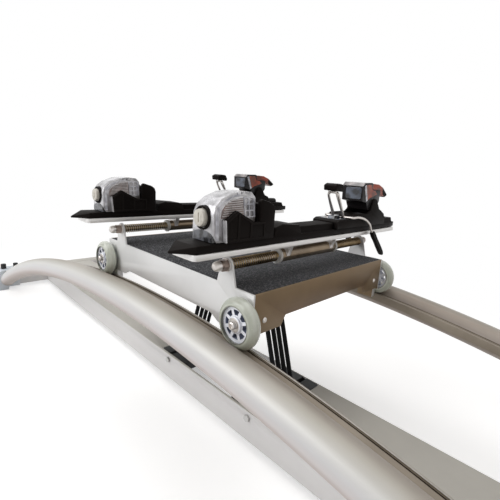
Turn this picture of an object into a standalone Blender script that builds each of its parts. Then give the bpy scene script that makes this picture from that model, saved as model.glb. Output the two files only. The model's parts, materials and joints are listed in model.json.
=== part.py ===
"""A ski simulator: a wheeled carriage with two sprung skis and bindings on a pair of arched rails.

Metres, +Z up, the floor at Z 0. X runs along the rails and Y from the front rail to the back one.
"""

import math

import bmesh
import bpy
from mathutils import Matrix, Vector

# Clearances
GAP = 0.0003
ROLL_GAP = 0.0006
BORE_GAP = 0.0004

# Rails, with heights measured from the wheel track
TRACK_RADIUS = 2.800
RAIL_END_HEIGHT = 0.057
RAIL_HALF_LENGTH = 1.150
RAIL_TUBE_R = 0.027
RAIL_TUBE_DROP = 0.0094
RAIL_TUBE_WALL = 0.003
RAIL_TUBE_TUCK = 0.007
RAIL_WEB_CLEARANCE = 0.0015
RAIL_WEB_WALL = 0.0028
RAIL_WEB_DEPTH = 0.0136
RAIL_LIP = 0.0025
RAIL_FLANGE = 0.004
RAIL_SIDES = 18
RAIL_STEPS = 22
BORE_SIDES = 12
BORE_STEPS = 11

# Spine, crossbars and sockets
FOOT_HEIGHT = 0.012
SPINE_WIDTH = 0.200
SPINE_HEIGHT = 0.067
SPINE_WALL = 0.003
SPINE_CORNER = 0.005
SPINE_EDGE = 0.006
CROSSBAR_X = 0.060
CROSSBAR_SETBACK = 0.015
SOCKET_WALL = 0.0115
SOCKET_FOOT_WIDTH = 0.041
SOCKET_LENGTH = 0.090
SOCKET_RISE = 0.027
SOCKET_ROUND = 0.022
SPIGOT_LENGTH = 0.035
SPIGOT_CLEARANCE = 0.0022
STOP_RADIUS = 0.009
STOP_HEIGHT = 0.026
KNOB_RADIUS = 0.010
KNOB_HEIGHT = 0.020
KNOB_X = 0.038
KNOB_OFFSET = 0.0065

# Anchor blocks and cords
BLOCK_INNER_X = 0.086
BLOCK_LENGTH = 0.100
BLOCK_THICK = 0.024
ROD_INSET = 0.039
ROD_RADIUS = 0.004
ROD_DROP = 0.014
ROD_SLOT = 0.0055
BOLT_RADIUS = 0.0075
BOLT_HEIGHT = 0.005
CORD_RADIUS = 0.004
CORD_CLEARANCE = 0.0006
CORD_STRANDS_Y = (-0.025, -0.008, 0.008, 0.025)
CORD_TOP_INSET = 0.024
CORD_FOOT_INSET = 0.023

# Carriage, with heights measured from the wheel axles
AXLE_INSET = 0.013
CARRIAGE_HALF_X = 0.243
CARRIAGE_HALF_Y = 0.207
SHEET = 0.003
PANEL_TOP = 0.044
FRONT_LEG_BOTTOM = -0.025
FRONT_MID_BOTTOM = -0.014
FRONT_LEG_WIDTH = 0.077
FRONT_SLOPE_WIDTH = 0.022
SIDE_LEG_BOTTOM = -0.022
SIDE_MID_BOTTOM = -0.005
SIDE_LEG_WIDTH = 0.068
SIDE_SLOPE_WIDTH = 0.010
SIDE_FLANGE = 0.010
DECK_THICK = 0.004
MAT_THICK = 0.003
HANGER_HALF_X = 0.106
HANGER_HALF_Y = 0.042
HANGER_PLATE = 0.006
HANGER_WALL = 0.004
HANGER_FLANGE = 0.018
HANGER_BOTTOM = 0.008
SHOE_HALF_X = 0.018
SHOE_INSET = 0.025
SHOE_REACH = 0.005
SHOE_TOP = -0.008
SHOE_THICK = 0.009

# Wheels
WHEEL_RADIUS = 0.040
WHEEL_WIDTH = 0.024
WHEEL_STANDOFF = 0.0025
TYRE_DEPTH = 0.0122
TREAD_ROUND = 0.0018
HUB_BOSS_R = 0.011
HUB_DISC = 0.014
HUB_RIM = 0.0042
HUB_WINDOWS = 8
WINDOW_SPAN = 0.62
AXLE_RADIUS = 0.004
AXLE_HEAD_R = 0.0065
AXLE_HEAD = 0.005
SPACER_RADIUS = 0.007

# Ski shafts, springs and bushes
SHAFT_X = 0.180
SHAFT_RISE = 0.032
SHAFT_RADIUS = 0.006
EAR_RIM = 0.0075
EAR_HALF_BASE = 0.022
WASHER_RIM = 0.005
WASHER_THICK = 0.002
NUT_RIM = 0.004
NUT_THICK = 0.010
ACORN_RIM = 0.0025
ACORN_LENGTH = 0.015
SPRING_WIRE_R = 0.0012
SPRING_CLEARANCE = 0.001
SPRING_CURLS = 14
SPRING_POINTS = 8
SPRING_END_GAP = 0.0008
BUSH_HALF = 0.092
BUSH_WALL = 0.0025
BUSH_FLANGE = 0.003
BUSH_FLANGE_RIM = 0.003

# Ski plates
HUB_TUBE_WALL = 0.0036
PLATE_RISE = 0.021
PLATE_THICK = 0.0087
PLATE_HALF_X = 0.028
PLATE_FRONT = -0.290
PLATE_BACK = 0.330
PLATE_CORNER = 0.006
BRACKET_Y = 0.070
BRACKET_THICK = 0.010
BRACKET_HALF = 0.020

# Binding bases, along Y from the carriage centre
FRONT_REACH = 0.313
POINT_LENGTH = 0.028
POINT_THICK = 0.003
TAIL_REACH = 0.345
TAIL_TAPER = 0.045
BASE_HALF = 0.026
BASE_THICK = 0.0117
PAD_LENGTH = 0.074
PAD_RISE = 0.020
RUNNER_EDGE = 0.006
RUNNER_RISE = 0.012
RUNNER_FRONT = -0.058
RUNNER_BACK = 0.330

# Toe pieces
TOE_FRONT = -0.256
TOE_LENGTH = 0.083
TOE_EDGE = 0.001
TOE_HEIGHT = 0.0725
TOE_TAPER = 0.24
TOE_PIVOT_SETBACK = 0.044
TOE_RIBS = 4
TOE_RIB_PITCH = 0.0085
TOE_RIB_DEPTH = 0.0012
CHEEK_THICK = 0.0075
CUP_LENGTH = 0.117
CUP_WALL = 0.0127
CUP_WALL_RISE = 0.055
WING_RISE = 0.062
WING_BACK_RISE = 0.044
CUP_PAD_GAP = 0.009
DIAL_RADIUS = 0.0135
DIAL_THICK = 0.008
DIAL_RISE = 0.0343

# Heel pieces
HEEL_FRONT = 0.055
HEEL_EDGE = 0.004
HEEL_DECK = 0.0183
HEEL_BLOCK = 0.0273
HEEL_SADDLE = 0.0245
HEEL_TAIL = 0.061
HEEL_LUG = 0.0047
HEEL_LUG_R = 0.012
HEEL_PIN_R = 0.004
HEEL_PIVOT_Y = 0.205
HEEL_PIVOT_RISE = 0.0473
LEVER_PIVOT_Y = -0.005
LEVER_PIVOT_RISE = 0.0385
LEVER_ROUND = 0.0065
LEVER_EDGE = 0.0008
SCREW_RADIUS = 0.011
SCREW_RISE = 0.0150
SCREW_REACH = 0.101

# Brakes, along Y and Z from the brake's pivot
BRAKE_PIVOT_SETBACK = 0.049
PEDAL_HALF = 0.015
PEDAL_RISE = 0.050
PEDAL_LENGTH = 0.032
PEDAL_BACK = -0.014
PEDAL_THICK = 0.016
ARM_WIRE_R = 0.0025
ARM_ELBOW_Y = 0.082
ARM_ELBOW_DROP = 0.0288
ARM_REACH = 0.154
ARM_DROP = 0.0938
ARM_TIP_LENGTH = 0.088
ARM_TIP_HALF = 0.0045
ARM_TIP_EDGE = 0.0058
ARM_CLEARANCE = 0.0025

# Worked out from the sizes above
ARC_Z = RAIL_END_HEIGHT - math.sqrt(TRACK_RADIUS**2 - RAIL_HALF_LENGTH**2)
AXLE_X = CARRIAGE_HALF_X - AXLE_INSET
AXLE_HEIGHT = ARC_Z + math.sqrt((TRACK_RADIUS + WHEEL_RADIUS + GAP) ** 2 - AXLE_X**2)
TRACK_LANE_Y = CARRIAGE_HALF_Y + WHEEL_STANDOFF + WHEEL_WIDTH / 2
RAIL_WEB_Y = CARRIAGE_HALF_Y + RAIL_WEB_CLEARANCE
RAIL_TUBE_Y = TRACK_LANE_Y + WHEEL_WIDTH / 2 + RAIL_TUBE_R - RAIL_TUBE_TUCK
SPINE_TOP = FOOT_HEIGHT + SPINE_HEIGHT
CROSSBAR_INNER_X = RAIL_HALF_LENGTH + CROSSBAR_SETBACK
SOCKET_INNER_Y = TRACK_LANE_Y - STOP_RADIUS - GAP
SOCKET_OUTER_Y = RAIL_TUBE_Y + RAIL_TUBE_R + SOCKET_WALL
SOCKET_FOOT_Y = SOCKET_OUTER_Y - SOCKET_FOOT_WIDTH
SOCKET_TOP = RAIL_END_HEIGHT + SOCKET_RISE
BLOCK_OUTER_X = BLOCK_INNER_X + BLOCK_LENGTH
BLOCK_HALF_Y = SPINE_WIDTH / 2 - SPINE_EDGE
ROD_X = BLOCK_OUTER_X - ROD_INSET
CORD_TOP_X = HANGER_HALF_X - CORD_TOP_INSET
CORD_FOOT_X = BLOCK_OUTER_X - CORD_FOOT_INSET
FRONT_LEG_INNER = CARRIAGE_HALF_X - FRONT_LEG_WIDTH
FRONT_MID_HALF = FRONT_LEG_INNER - FRONT_SLOPE_WIDTH
SIDE_LEG_INNER = CARRIAGE_HALF_Y - SIDE_LEG_WIDTH
SIDE_MID_HALF = SIDE_LEG_INNER - SIDE_SLOPE_WIDTH
SHOE_X = CARRIAGE_HALF_X - SHOE_INSET
SHOE_BOTTOM = -WHEEL_RADIUS - SHOE_REACH
TYRE_INNER_R = WHEEL_RADIUS - TYRE_DEPTH
TREAD_DEPTH = TYRE_DEPTH + TREAD_ROUND
SHAFT_Z = AXLE_HEIGHT + PANEL_TOP + SHAFT_RISE
EAR_RADIUS = SHAFT_RADIUS + EAR_RIM
SPRING_MEAN_R = SHAFT_RADIUS + SPRING_CLEARANCE + SPRING_WIRE_R
SPRING_END_PITCH = 2 * SPRING_WIRE_R + SPRING_END_GAP
BUSH_SLEEVE_R = SHAFT_RADIUS + BUSH_WALL
BUSH_FLANGE_R = BUSH_SLEEVE_R + BUSH_FLANGE_RIM
HUB_TUBE_R = BUSH_SLEEVE_R + BORE_GAP + HUB_TUBE_WALL
DECK_Z = AXLE_HEIGHT + PANEL_TOP - MAT_THICK - GAP - DECK_THICK
HANGER_Z = AXLE_HEIGHT + HANGER_BOTTOM
PLATE_Z = SHAFT_Z + PLATE_RISE
BASE_Z = PLATE_Z + PLATE_THICK + GAP
BASE_TOP = BASE_Z + BASE_THICK
RUNNER_TOP = BASE_TOP + RUNNER_RISE
RUNNER_HALF = BASE_HALF - RUNNER_EDGE
TOE_HALF = BASE_HALF - TOE_EDGE
TOE_BACK = TOE_FRONT + TOE_LENGTH
TOE_PIVOT_Y = TOE_FRONT + TOE_PIVOT_SETBACK
CUP_BACK = TOE_FRONT + CUP_LENGTH
PAD_FRONT = CUP_BACK + CUP_PAD_GAP
DIAL_Z = BASE_TOP + DIAL_RISE
HEEL_HALF = BASE_HALF + HEEL_EDGE
HEEL_CUP_HALF = HEEL_HALF - HEEL_LUG - GAP
HEEL_BACK = HEEL_PIVOT_Y + HEEL_TAIL
HEEL_PIVOT = (HEEL_PIVOT_Y, BASE_TOP + HEEL_PIVOT_RISE)
LEVER_PIVOT = (HEEL_PIVOT[0] + LEVER_PIVOT_Y, HEEL_PIVOT[1] + LEVER_PIVOT_RISE)
LEVER_HALF = HEEL_CUP_HALF - LEVER_EDGE
BRAKE_PIVOT = (HEEL_FRONT + BRAKE_PIVOT_SETBACK, BASE_TOP + HEEL_DECK + GAP + ARM_WIRE_R)
ARM_X = HEEL_HALF + ARM_TIP_HALF + ARM_CLEARANCE
CENTRE_Y = (FRONT_REACH - TAIL_REACH) / 2

PLANES = {
    "XY": Matrix.Identity(4),
    "XZ": Matrix(((1, 0, 0, 0), (0, 0, -1, 0), (0, 1, 0, 0), (0, 0, 0, 1))),
    "YZ": Matrix(((0, 0, 1, 0), (1, 0, 0, 0), (0, 1, 0, 0), (0, 0, 0, 1))),
}
AXES = {
    "Y": Matrix.Rotation(math.radians(-90), 4, "X"),
    "Z": Matrix.Identity(4),
}


def clear_scene():
    for obj in list(bpy.data.objects):
        bpy.data.objects.remove(obj, do_unlink=True)


def material(name, colour, roughness, metallic=0.0):
    made = bpy.data.materials.new(name)
    made.use_nodes = True
    shader = made.node_tree.nodes["Principled BSDF"]
    shader.inputs["Base Color"].default_value = (*colour, 1.0)
    shader.inputs["Roughness"].default_value = roughness
    shader.inputs["Metallic"].default_value = metallic
    made.diffuse_color = (*colour, 1.0)
    return made


def linked(name, data):
    obj = bpy.data.objects.new(name, data)
    bpy.context.scene.collection.objects.link(obj)
    return obj


def tidy_mesh(mesh):
    """Welds coincident points and turns every face outwards."""
    bm = bmesh.new()
    bm.from_mesh(mesh)
    bmesh.ops.remove_doubles(bm, verts=bm.verts, dist=0.000001)
    bmesh.ops.recalc_face_normals(bm, faces=bm.faces)
    bm.to_mesh(mesh)
    bm.free()


def baked(obj, matrix=None):
    """The object with its modifiers applied, as a mesh object of the same name."""
    bpy.context.view_layer.update()
    graph = bpy.context.evaluated_depsgraph_get()
    mesh = bpy.data.meshes.new_from_object(obj.evaluated_get(graph))
    name = obj.name
    bpy.data.objects.remove(obj, do_unlink=True)
    if matrix is not None:
        mesh.transform(matrix)
    tidy_mesh(mesh)
    return linked(name, mesh)


def slab(name, plane, outline, low, high, holes=()):
    """A flat outline in a plane, from low to high along the plane's normal."""
    curve = bpy.data.curves.new(name, "CURVE")
    curve.dimensions = "2D"
    curve.fill_mode = "BOTH"
    curve.extrude = (high - low) / 2
    for loop in (outline, *holes):
        spline = curve.splines.new("POLY")
        spline.points.add(len(loop) - 1)
        for point, (across, up) in zip(spline.points, loop):
            point.co = (across, up, 0.0, 1.0)
        spline.use_cyclic_u = True
    middle = (low + high) / 2
    lift = -middle if plane == "XZ" else middle
    return baked(linked(name, curve), PLANES[plane] @ Matrix.Translation((0.0, 0.0, lift)))


def box(name, low, high):
    bm = bmesh.new()
    bmesh.ops.create_cube(bm, size=1.0)
    low, high = Vector(low), Vector(high)
    bmesh.ops.scale(bm, vec=high - low, verts=bm.verts)
    bmesh.ops.translate(bm, vec=(low + high) / 2, verts=bm.verts)
    mesh = bpy.data.meshes.new(name)
    bm.to_mesh(mesh)
    bm.free()
    return linked(name, mesh)


def rod(name, start, end, radius, sides=16, end_radius=None):
    start, end = Vector(start), Vector(end)
    bm = bmesh.new()
    bmesh.ops.create_cone(
        bm,
        cap_ends=True,
        segments=sides,
        radius1=radius,
        radius2=radius if end_radius is None else end_radius,
        depth=(end - start).length,
    )
    mesh = bpy.data.meshes.new(name)
    bm.to_mesh(mesh)
    bm.free()
    facing = (end - start).to_track_quat("Z", "Y").to_matrix().to_4x4()
    mesh.transform(Matrix.Translation((start + end) / 2) @ facing)
    return linked(name, mesh)


def tube(name, points, radius):
    curve = bpy.data.curves.new(name, "CURVE")
    curve.dimensions = "3D"
    curve.bevel_depth = radius
    curve.bevel_resolution = 1
    curve.use_fill_caps = True
    spline = curve.splines.new("POLY")
    spline.points.add(len(points) - 1)
    for point, place in zip(spline.points, points):
        point.co = (*place, 1.0)
    return baked(linked(name, curve))


def turned(name, profile, centre, axis, steps, closed=False):
    """A profile of (radius, height) points turned about an axis through the centre."""
    mesh = bpy.data.meshes.new(name)
    edges = [(i, i + 1) for i in range(len(profile) - 1)]
    if closed:
        edges.append((len(profile) - 1, 0))
    mesh.from_pydata([(radius, 0.0, height) for radius, height in profile], edges, [])
    obj = linked(name, mesh)
    screw = obj.modifiers.new("Screw", "SCREW")
    screw.axis = "Z"
    screw.steps = steps
    screw.render_steps = steps
    screw.use_merge_vertices = True
    screw.merge_threshold = 0.00001
    return baked(obj, Matrix.Translation(centre) @ AXES[axis])


def boolean(obj, other, operation):
    modifier = obj.modifiers.new(operation, "BOOLEAN")
    modifier.operation = operation
    modifier.solver = "EXACT"
    modifier.object = other
    result = baked(obj)
    bpy.data.objects.remove(other, do_unlink=True)
    return result


def cut(obj, *others):
    for other in others:
        obj = boolean(obj, other, "DIFFERENCE")
    return obj


def fuse(obj, *others):
    for other in others:
        obj = boolean(obj, other, "UNION")
    return obj


def softened(obj, width, segments=2, degrees=30):
    bevel = obj.modifiers.new("Bevel", "BEVEL")
    bevel.width = width
    bevel.segments = segments
    bevel.limit_method = "ANGLE"
    bevel.angle_limit = math.radians(degrees)
    return baked(obj)


def arc(centre_a, centre_b, radius, start, end, steps):
    """Points on an arc, in degrees, both ends included."""
    points = []
    for step in range(steps + 1):
        angle = math.radians(start + (end - start) * step / steps)
        points.append((centre_a + radius * math.cos(angle), centre_b + radius * math.sin(angle)))
    return points


def circle(centre_a, centre_b, radius, sides):
    return arc(centre_a, centre_b, radius, 0, 360, sides)[:-1]


def rounded_box(low_a, low_b, high_a, high_b, radius, steps=2):
    corners = (
        (high_a - radius, high_b - radius, 0),
        (low_a + radius, high_b - radius, 90),
        (low_a + radius, low_b + radius, 180),
        (high_a - radius, low_b + radius, 270),
    )
    points = []
    for a, b, start in corners:
        points += arc(a, b, radius, start, start + 90, steps)
    return points


def done(obj, finish, parent, origin=None):
    """Gives a finished piece its material and parent, and its origin where it moves from."""
    obj.data.materials.clear()
    obj.data.materials.append(finish)
    obj.data.shade_smooth()
    obj.data.set_sharp_from_angle(angle=math.radians(32))
    place = Vector(origin) if origin is not None else parent.matrix_world.translation.copy()
    obj.data.transform(Matrix.Translation(-place))
    obj.location = place
    obj.parent = parent
    obj.matrix_parent_inverse = parent.matrix_world.inverted()
    return obj


def pivot(name, place, parent=None):
    """An empty on a joint's axis, which carries the pieces that move with it."""
    empty = linked(name, None)
    empty.empty_display_size = 0.03
    empty.location = place
    if parent is not None:
        empty.parent = parent
        empty.matrix_parent_inverse = parent.matrix_world.inverted()
    bpy.context.view_layer.update()
    return empty


def mirrored(points, side):
    """A half outline and its mirror image, or the outline turned to one side."""
    return [(side * a, b) for a, b in points]


def track_z(x, rise=0.0):
    """The height of the wheel track, or of a line above it, at X."""
    return ARC_Z + math.sqrt((TRACK_RADIUS + rise) ** 2 - x**2)


def swept(name, section, side, steps, half_angle):
    """A closed section of (y, rise) points swept along the rails' arc."""
    bm = bmesh.new()
    ring = []
    for y, rise in section:
        place = Vector((0.0, side * y, TRACK_RADIUS + rise))
        ring.append(bm.verts.new(Matrix.Rotation(-half_angle, 3, "Y") @ place))
    edges = [bm.edges.new((ring[i - 1], ring[i])) for i in range(len(ring))]
    bmesh.ops.spin(
        bm,
        geom=ring + edges,
        cent=(0.0, 0.0, 0.0),
        axis=(0.0, 1.0, 0.0),
        angle=2 * half_angle,
        steps=steps,
    )
    bmesh.ops.holes_fill(bm, edges=[edge for edge in bm.edges if edge.is_boundary], sides=0)
    mesh = bpy.data.meshes.new(name)
    bm.to_mesh(mesh)
    bm.free()
    mesh.transform(Matrix.Translation((0.0, 0.0, ARC_Z)))
    tidy_mesh(mesh)
    return linked(name, mesh)


def rail_section():
    """The round tube with the flat wheel track, inner lip and hollow web on its inner side."""
    web_outer = RAIL_WEB_Y + RAIL_WEB_WALL
    floor_angle = 180 - math.degrees(math.asin(RAIL_TUBE_DROP / RAIL_TUBE_R))
    under_angle = 180 - math.degrees(math.asin((RAIL_TUBE_DROP - RAIL_FLANGE) / RAIL_TUBE_R))
    tube_points = arc(
        RAIL_TUBE_Y, -RAIL_TUBE_DROP, RAIL_TUBE_R, floor_angle, under_angle - 360, RAIL_SIDES
    )
    return [
        (RAIL_WEB_Y, -RAIL_WEB_DEPTH),
        (RAIL_WEB_Y, RAIL_LIP),
        (web_outer, RAIL_LIP),
        (web_outer, 0.0),
        *tube_points,
        (web_outer, -RAIL_FLANGE),
        (web_outer, -RAIL_WEB_DEPTH),
    ]


def rail(name, side, finish, parent):
    half_angle = math.asin((RAIL_HALF_LENGTH + 0.040) / TRACK_RADIUS)
    body = swept(name, rail_section(), side, RAIL_STEPS, half_angle)
    bore_radius = RAIL_TUBE_R - RAIL_TUBE_WALL
    bore = swept(
        "bore",
        circle(RAIL_TUBE_Y, -RAIL_TUBE_DROP, bore_radius, BORE_SIDES),
        side,
        BORE_STEPS,
        half_angle * 1.02,
    )
    body = cut(body, bore)
    for end in (-1, 1):
        low = (min(end * RAIL_HALF_LENGTH, end * 1.4), -0.4, -0.3)
        high = (max(end * RAIL_HALF_LENGTH, end * 1.4), 0.4, 0.6)
        body = cut(body, box("trim", low, high))
    return done(body, finish, parent)


def spine(finish, parent):
    """A channel open below, with a window for the cord anchors and holes for their rods."""
    half = SPINE_WIDTH / 2
    inner = half - SPINE_WALL
    outline = [
        (half, FOOT_HEIGHT),
        *arc(half - SPINE_CORNER, SPINE_TOP - SPINE_CORNER, SPINE_CORNER, 0, 90, 2),
        *arc(-half + SPINE_CORNER, SPINE_TOP - SPINE_CORNER, SPINE_CORNER, 90, 180, 2),
        (-half, FOOT_HEIGHT),
        (-inner, FOOT_HEIGHT),
        (-inner, SPINE_TOP - SPINE_WALL),
        (inner, SPINE_TOP - SPINE_WALL),
        (inner, FOOT_HEIGHT),
    ]
    reach = CROSSBAR_INNER_X - GAP
    body = slab("base_spine", "YZ", outline, -reach, reach)
    window_x = BLOCK_OUTER_X + GAP
    window = box(
        "window",
        (-window_x, -BLOCK_HALF_Y, SPINE_TOP - 0.01),
        (window_x, BLOCK_HALF_Y, SPINE_TOP + 0.01),
    )
    body = cut(body, window)
    for side in (-1, 1):
        rod_z = SPINE_TOP - ROD_DROP
        hole = rod(
            "hole",
            (side * ROD_X, -half - 0.01, rod_z),
            (side * ROD_X, half + 0.01, rod_z),
            ROD_RADIUS + BORE_GAP,
            8,
        )
        body = cut(body, hole)
    return done(body, finish, parent)


def crossbar(name, side, finish, parent):
    """A box tube between the two sockets of one end."""
    inner = CROSSBAR_INNER_X
    outer = CROSSBAR_INNER_X + CROSSBAR_X
    wall = SPINE_WALL
    outline = rounded_box(inner, FOOT_HEIGHT, outer, SPINE_TOP, SPINE_CORNER)
    hollow = rounded_box(inner + wall, FOOT_HEIGHT + wall, outer - wall, SPINE_TOP - wall, 0.002, 1)
    reach = SOCKET_INNER_Y - GAP
    body = slab(
        name, "XZ", mirrored(outline, side), -reach, reach, holes=[mirrored(hollow, side)]
    )
    return done(body, finish, parent)


def socket(name, end, side, finish, parent):
    """The foot that plugs one rail end and one crossbar end, with its stop and clamp knob."""
    inner = SOCKET_INNER_Y
    outer = SOCKET_OUTER_Y
    outline = [
        (inner, FOOT_HEIGHT),
        (SOCKET_FOOT_Y, FOOT_HEIGHT),
        (SOCKET_FOOT_Y + 0.004, 0.0),
        (outer - 0.004, 0.0),
        (outer, 0.004),
        *arc(outer - SOCKET_ROUND, SOCKET_TOP - SOCKET_ROUND, SOCKET_ROUND, 0, 90, 4),
        *arc(inner + 0.006, SOCKET_TOP - 0.006, 0.006, 90, 180, 2),
    ]
    near = RAIL_HALF_LENGTH + GAP
    far = near + SOCKET_LENGTH
    low, high = sorted((end * near, end * far))
    body = slab(name, "YZ", mirrored(outline, side), low, high)
    trim = slab(
        "trim",
        "XZ",
        [
            (end * (far - 0.020), SOCKET_TOP + 0.001),
            (end * (far + 0.001), SOCKET_TOP + 0.001),
            (end * (far + 0.001), SOCKET_TOP - 0.022),
        ],
        -SOCKET_OUTER_Y - 0.01,
        SOCKET_OUTER_Y + 0.01,
    )
    body = cut(body, trim)
    slope = math.asin(RAIL_HALF_LENGTH / TRACK_RADIUS)
    inward = Vector((-end * math.cos(slope), 0.0, math.sin(slope)))
    mouth = Vector((end * near, side * RAIL_TUBE_Y, track_z(near, -RAIL_TUBE_DROP)))
    bore_flat = (RAIL_TUBE_R - RAIL_TUBE_WALL) * math.cos(math.pi / BORE_SIDES)
    plug = rod(
        "plug",
        mouth - inward * 0.012,
        mouth + inward * SPIGOT_LENGTH,
        bore_flat - SPIGOT_CLEARANCE,
        12,
    )
    stop_x = end * (near + STOP_RADIUS + 0.001)
    stop = rod(
        "stop",
        (stop_x, side * TRACK_LANE_Y, SOCKET_TOP - 0.010),
        (stop_x, side * TRACK_LANE_Y, SOCKET_TOP + STOP_HEIGHT),
        STOP_RADIUS,
        10,
    )
    knob_x = end * (near + KNOB_X)
    knob_y = side * (RAIL_TUBE_Y + KNOB_OFFSET)
    knob = rod(
        "knob",
        (knob_x, knob_y, SOCKET_TOP - 0.010),
        (knob_x, knob_y, SOCKET_TOP + KNOB_HEIGHT),
        KNOB_RADIUS,
        10,
    )
    return done(fuse(body, plug, stop, knob), finish, parent)


def strand_direction(side):
    """From the hanger down to the anchor block, along one strand."""
    top = Vector((side * CORD_TOP_X, 0.0, HANGER_Z + HANGER_PLATE / 2))
    foot = Vector((side * CORD_FOOT_X, 0.0, SPINE_TOP))
    return top, (foot - top).normalized()


def strand_point(side, y, z):
    top, down = strand_direction(side)
    along = (z - top.z) / down.z
    place = top + down * along
    return Vector((place.x, y, z))


def cord_route(side):
    """One elastic cord laced through the hanger and the block, four strands in all."""
    high = HANGER_Z + HANGER_PLATE + 0.004
    low = SPINE_TOP - BLOCK_THICK - 0.004
    _, down = strand_direction(side)
    ends = (high, low)
    points = [strand_point(side, CORD_STRANDS_Y[0], high + 0.004)]
    for number, y in enumerate(CORD_STRANDS_Y):
        first, last = ends if number % 2 == 0 else ends[::-1]
        for share in (0.0, 0.25, 0.5, 0.75, 1.0):
            points.append(strand_point(side, y, first + (last - first) * share))
        if number == len(CORD_STRANDS_Y) - 1:
            break
        reach = (CORD_STRANDS_Y[number + 1] - y) / 2
        outward = down if last == low else -down
        turn = strand_point(side, y + reach, last)
        for degrees in (45, 90, 135):
            angle = math.radians(degrees)
            across = Vector((0.0, -reach * math.cos(angle), 0.0))
            points.append(turn + across + outward * reach * math.sin(angle))
    points.append(strand_point(side, CORD_STRANDS_Y[-1], high + 0.004))
    return points


def strand_holes(obj, side, high, low):
    for y in CORD_STRANDS_Y:
        hole = rod(
            "hole",
            strand_point(side, y, low),
            strand_point(side, y, high),
            CORD_RADIUS + CORD_CLEARANCE,
            8,
        )
        obj = cut(obj, hole)
    return obj


def anchor_block(name, side, finish, parent):
    """The block that the cord laces through, hung in the spine's window on a cross rod."""
    low, high = sorted((side * BLOCK_INNER_X, side * BLOCK_OUTER_X))
    inner_y = BLOCK_HALF_Y - GAP
    bottom = SPINE_TOP - BLOCK_THICK
    body = slab(name, "XY", rounded_box(low, -inner_y, high, inner_y, 0.004, 1), bottom, SPINE_TOP)
    half = SPINE_WIDTH / 2
    rod_z = SPINE_TOP - ROD_DROP
    rod_slot = box(
        "rod_slot",
        (side * ROD_X - ROD_SLOT, -half, rod_z),
        (side * ROD_X + ROD_SLOT, half, SPINE_TOP + 0.001),
    )
    body = cut(body, rod_slot)
    reach = half + GAP + BOLT_HEIGHT
    pieces = [
        rod("rod", (side * ROD_X, -reach, rod_z), (side * ROD_X, reach, rod_z), ROD_RADIUS, 8)
    ]
    for face in (-1, 1):
        pieces.append(
            rod(
                "head",
                (side * ROD_X, face * (half + GAP), rod_z),
                (side * ROD_X, face * reach, rod_z),
                BOLT_RADIUS,
                6,
            )
        )
        ends = sorted((face * (inner_y - 0.001), face * (half - SPINE_WALL - GAP)))
        pieces.append(
            box(
                "shoulder",
                (low + 0.012, ends[0], bottom),
                (high - 0.012, ends[1], SPINE_TOP - SPINE_WALL - GAP),
            )
        )
    body = fuse(body, *pieces)
    body = strand_holes(body, side, SPINE_TOP + 0.01, bottom - 0.01)
    return done(body, finish, parent)


def ear(x):
    """One shaft ear on the top edge of a front or back panel, from its inner to its outer foot."""
    top = PANEL_TOP + AXLE_HEIGHT
    return [
        (x - EAR_HALF_BASE, top),
        *arc(x, SHAFT_Z, EAR_RADIUS, 170, 10, 6),
        (x + EAR_HALF_BASE, top),
    ]


def end_panel(name, side, finish, parent):
    """A front or back sheet with its two shaft ears, two legs and the rail guide shoes."""
    top = AXLE_HEIGHT + PANEL_TOP
    leg = AXLE_HEIGHT + FRONT_LEG_BOTTOM
    mid = AXLE_HEIGHT + FRONT_MID_BOTTOM
    outline = [
        (-CARRIAGE_HALF_X, top),
        *ear(-SHAFT_X),
        *ear(SHAFT_X),
        (CARRIAGE_HALF_X, top),
        (CARRIAGE_HALF_X, leg),
        (FRONT_LEG_INNER, leg),
        (FRONT_MID_HALF, mid),
        (-FRONT_MID_HALF, mid),
        (-FRONT_LEG_INNER, leg),
        (-CARRIAGE_HALF_X, leg),
    ]
    holes = []
    for x in (-1, 1):
        holes.append(circle(x * SHAFT_X, SHAFT_Z, SHAFT_RADIUS + GAP, 12))
        holes.append(circle(x * AXLE_X, AXLE_HEIGHT, AXLE_RADIUS + GAP, 10))
    inner = CARRIAGE_HALF_Y - SHEET
    low, high = sorted((side * inner, side * CARRIAGE_HALF_Y))
    body = slab(name, "XZ", outline, low, high, holes)
    shoe_outer = RAIL_WEB_Y - ROLL_GAP
    for x in (-1, 1):
        shoe = slab(
            "shoe",
            "YZ",
            [
                (side * (inner - SHOE_THICK), AXLE_HEIGHT + SHOE_TOP),
                (side * (inner + 0.001), AXLE_HEIGHT + SHOE_TOP),
                (side * (inner + 0.001), leg - 0.001),
                (side * shoe_outer, leg - 0.001),
                (side * shoe_outer, AXLE_HEIGHT + SHOE_BOTTOM),
                (side * (inner - SHOE_THICK), AXLE_HEIGHT + SHOE_BOTTOM),
            ],
            x * SHOE_X - SHOE_HALF_X,
            x * SHOE_X + SHOE_HALF_X,
        )
        body = fuse(body, shoe)
    return done(body, finish, parent)


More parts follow.
